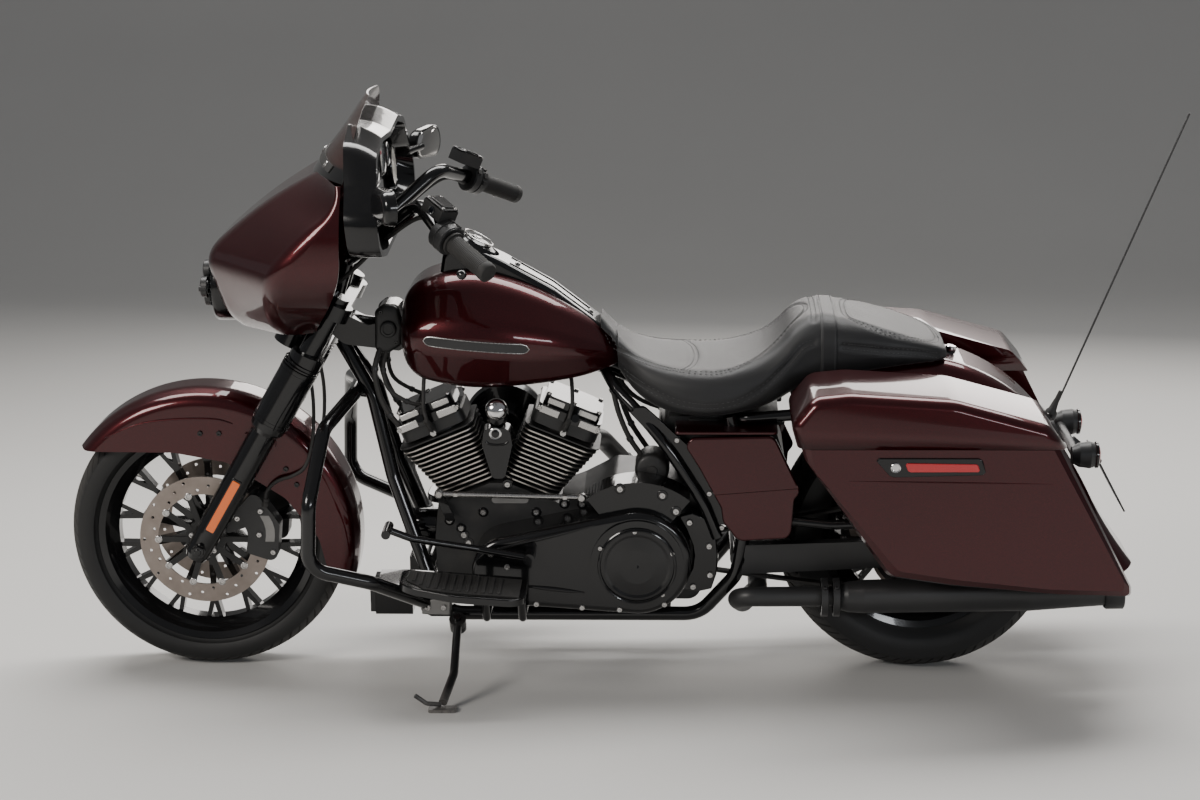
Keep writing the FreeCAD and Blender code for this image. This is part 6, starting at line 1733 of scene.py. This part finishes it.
@operator
class CRUISER_OT_bag_pieces(bpy.types.Operator):
    """Lids, latches, reflectors and locks of the saddlebags"""
    bl_idname = "cruiser.bag_pieces"
    bl_label = "Saddlebag pieces"

    SEAM = 641.0
    # lid outline above the seam: x, z, corner radius
    LID = ((1332, 641, 0), (1318, 691, 30), (1364, 749, 40), (1440, 757, 120), (1660, 743, 140),
           (1856, 689, 40), (1896, 641, 0))
    # distance from the middle of the machine, how far the outline is drawn in there
    STATIONS = ((212, 0), (404, 0), (409, 0.9), (414, 2.6), (418, 4.6), (422, 7.4), (425.5, 11),
                (428.4, 15.5), (430, 20.5))

    def lids(self):
        """Whole lid shells over the solids, whose rear slope is open."""
        line = rounded_outline(self.LID)
        for side, name, body in ((-1, "left", LEFT_LID), (1, "right", RIGHT_LID)):
            shell = Form().skin([[Vector((point.x, side * y, point.y))
                                  for point in drawn_in(line, amount, self.SEAM)]
                                 for y, amount in self.STATIONS], around=False)
            piece = shell.done("bag_lid_shell_" + name, "wine_paint", body)
            wall = piece.modifiers.new("wall", "SOLIDIFY")
            wall.thickness = sizes().lid_wall / 1000
            wall.offset = -1
            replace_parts(piece, "bag_lid_" + name)

    def execute(self, context):
        self.lids()
        bezel = Form().plate([(1500, 623), (1712, 623), (1719, 618), (1726, 592), (1720, 586), (1532, 581),
                              (1524, 584), (1496, 616)], -429.4, -434.2, 2.2)
        bezel.mirror().done("bag_latch_bezels", "gloss_black", edge=1.4)
        # the red reflectors give off a painted glow from their finish
        painted_glow = Form().plate([(1560, 613), (1704, 611), (1709, 609), (1713, 597), (1710, 594), (1567, 593.5),
                             (1562, 596), (1557, 609)], -433.4, -437.2, 1.6)
        painted_glow.mirror().done("bag_reflectors", "red_lens", edge=0.8)
        lock = Form().turn([(0, 11), (3, 10.6), (4, 9.4), (3.2, 8), (1.6, 7.6), (1.6, 0)], (1537, -434, 603),
                           LEFT, 32)
        lock.slab((1537, -436, 603), X_AXIS, Z_AXIS, 2, 9, 1.6, 0.6)
        lock.mirror().done("bag_locks", "chrome")
        bag = Surface("saddlebag_left")
        line = [bag.from_left(1440 + 7.1 * step, 572 - 0.1 * step)[0] for step in range(61)]
        radii = [0.3 + 1.5 * math.sin(math.pi * (step + 0.5) / 61.5) for step in range(61)]
        Form().tube(line, radii, 8).mirror().done("bag_creases", "wine_paint")
        return {"FINISHED"}


@operator
class CRUISER_OT_tail_pieces(bpy.types.Operator):
    """Lamp lenses, antenna foot, muffler bands, tips and bores"""
    bl_idname = "cruiser.tail_pieces"
    bl_label = "Tail and exhaust pieces"

    def execute(self, context):
        lens = Form()
        rims = Form()
        for side in (-1, 1):
            base = (2005.5, side * 132, 540)
            lens.turn([(-2, 25.5), (1.5, 25), (5, 20.5), (7.6, 11), (8.4, 0)], base, X_AXIS, 48)
            rims.turn([(-3, 29.6), (1.6, 29.2), (2.6, 27.6), (1.6, 25.8), (-3, 25.4)], base, X_AXIS, 48,
                      capped=False)
        lens.done("signal_lenses", "red_lens")
        rims.done("signal_rims", "gloss_black")
        foot = Form().turn([(-2, 13), (3, 12.6), (8, 9), (26, 6.4), (34, 5), (52, 4.2), (53, 2)],
                           (1900, -140, 640), (266, 0, 672), 28)
        foot.done("antenna_foot", "moulded_rubber")
        bands = Form()
        bores = Form()
        for side in (-1, 1):
            for x in (1404, 1430):
                bands.turn([(-8, 36), (-7, 42.5), (7, 42.8), (8, 36)], (x, side * 230, 240), X_AXIS, 56,
                           capped=False)
                bands.screw((x, side * 230 + side * 30, 240 + 33), (0, side * 0.6, 0.8), 5)
            tip = Vector((2047, side * 230, 240 + 618 * 0.03))
            bands.turn([(-30, 38), (-26, 41), (10, 41.5), (12, 39.5), (11, 37), (0.4, 36)],
                       tip, (1, 0, 0.03), 56, capped=False)
            bores.turn([(0.2, 37), (0.8, 25), (7, 24.5), (7, 21.5), (0.9, 21), (0.9, 0)],
                       tip, (1, 0, 0.03), 56)
        bands.done("muffler_bands", "satin_black")
        bores.done("muffler_bores", "soot")
        return {"FINISHED"}


@operator
class CRUISER_OT_foot_pieces(bpy.types.Operator):
    """Floorboard pads, regulator fins, the stand's casting and the bar lines"""
    bl_idname = "cruiser.foot_pieces"
    bl_label = "Foot pieces"

    # outer edge of a floorboard: x, distance from the middle of the machine
    EDGE = ((488, 338), (540, 384), (600, 392), (735, 386))

    def execute(self, context):
        board = Surface("floorboards")
        pad = Form()
        ribs = Form()
        rows = []
        for step in range(13):
            x = 492 + 246 * step / 12
            outer = between(self.EDGE, x)[0]
            rows.append([((x, -274 - (outer - 274) * part / 4, ABOVE_BOARD), DOWN) for part in range(5)])
        board.lay_along(pad, rows, 2.0)
        pad.mirror().done("floorboard_pads", "moulded_rubber")
        count = int(215 / sizes().pad_rib_pitch)
        for index in range(count):
            x = 506 + sizes().pad_rib_pitch * index
            outer = between(self.EDGE, x)[0] - 8
            place, normal = board.hit((x, -(282 + outer) / 2, ABOVE_BOARD), DOWN)
            heading = Y_AXIS.cross(normal)
            ribs.slab(place + normal * 3.0, heading, Y_AXIS, 8.5, outer - 282, 3.4, 3)
        ribs.mirror().done("floorboard_ribs", "moulded_rubber", edge=0.8)
        fins = Form()
        for index in range(13):
            fins.slab((378.5, -60 + 10 * index, 166), X_AXIS, Z_AXIS, 13, 54, 3, 1.5)
        fins.done("regulator_fins", "satin_black")
        face = Form().plate([(503, 177), (569, 175), (570, 214), (552, 219), (503, 208)], -177.7, -181.5, 3)
        face.done("stand_casting_face", "cast_grey", edge=1.4)
        Form().screws(((517, 195), (553, 195)), 7, y=-181.5).done("stand_casting_bolts", "bright_steel")
        route = through([(578, 300, 1074), (532, 226, 1096), (446, 168, 1034), (368, 112, 958),
                         (332, 88, 924)])
        Form().tube(route, 5.0).mirror().done("bar_lines_pipe", "moulded_rubber", STEERING)
        return {"FINISHED"}


class CRUISER_PT_panel(bpy.types.Panel):
    """Lists the making steps in the sidebar"""
    bl_label = "Touring cruiser"
    bl_idname = "CRUISER_PT_panel"
    bl_space_type = "VIEW_3D"
    bl_region_type = "UI"
    bl_category = "Cruiser"

    def draw(self, context):
        for step in STEPS:
            self.layout.operator(step.bl_idname)
        for group in (context.scene.cruiser_sizes, context.scene.cruiser_colours):
            for name in group.bl_rna.properties.keys():
                if name not in ("rna_type", "name"):
                    self.layout.prop(group, name)


GROUPS = (CruiserSizes, CruiserColours)


def register():
    for cls in GROUPS + tuple(STEPS) + (CRUISER_PT_panel,):
        bpy.utils.register_class(cls)
    bpy.types.Scene.cruiser_sizes = PointerProperty(type=CruiserSizes)
    bpy.types.Scene.cruiser_colours = PointerProperty(type=CruiserColours)


def unregister():
    del bpy.types.Scene.cruiser_colours
    del bpy.types.Scene.cruiser_sizes
    for cls in reversed(GROUPS + tuple(STEPS) + (CRUISER_PT_panel,)):
        bpy.utils.unregister_class(cls)


def main():
    register()
    for step in STEPS:
        group, name = step.bl_idname.split(".")
        getattr(getattr(bpy.ops, group), name)()


if __name__ == "__main__":
    main()
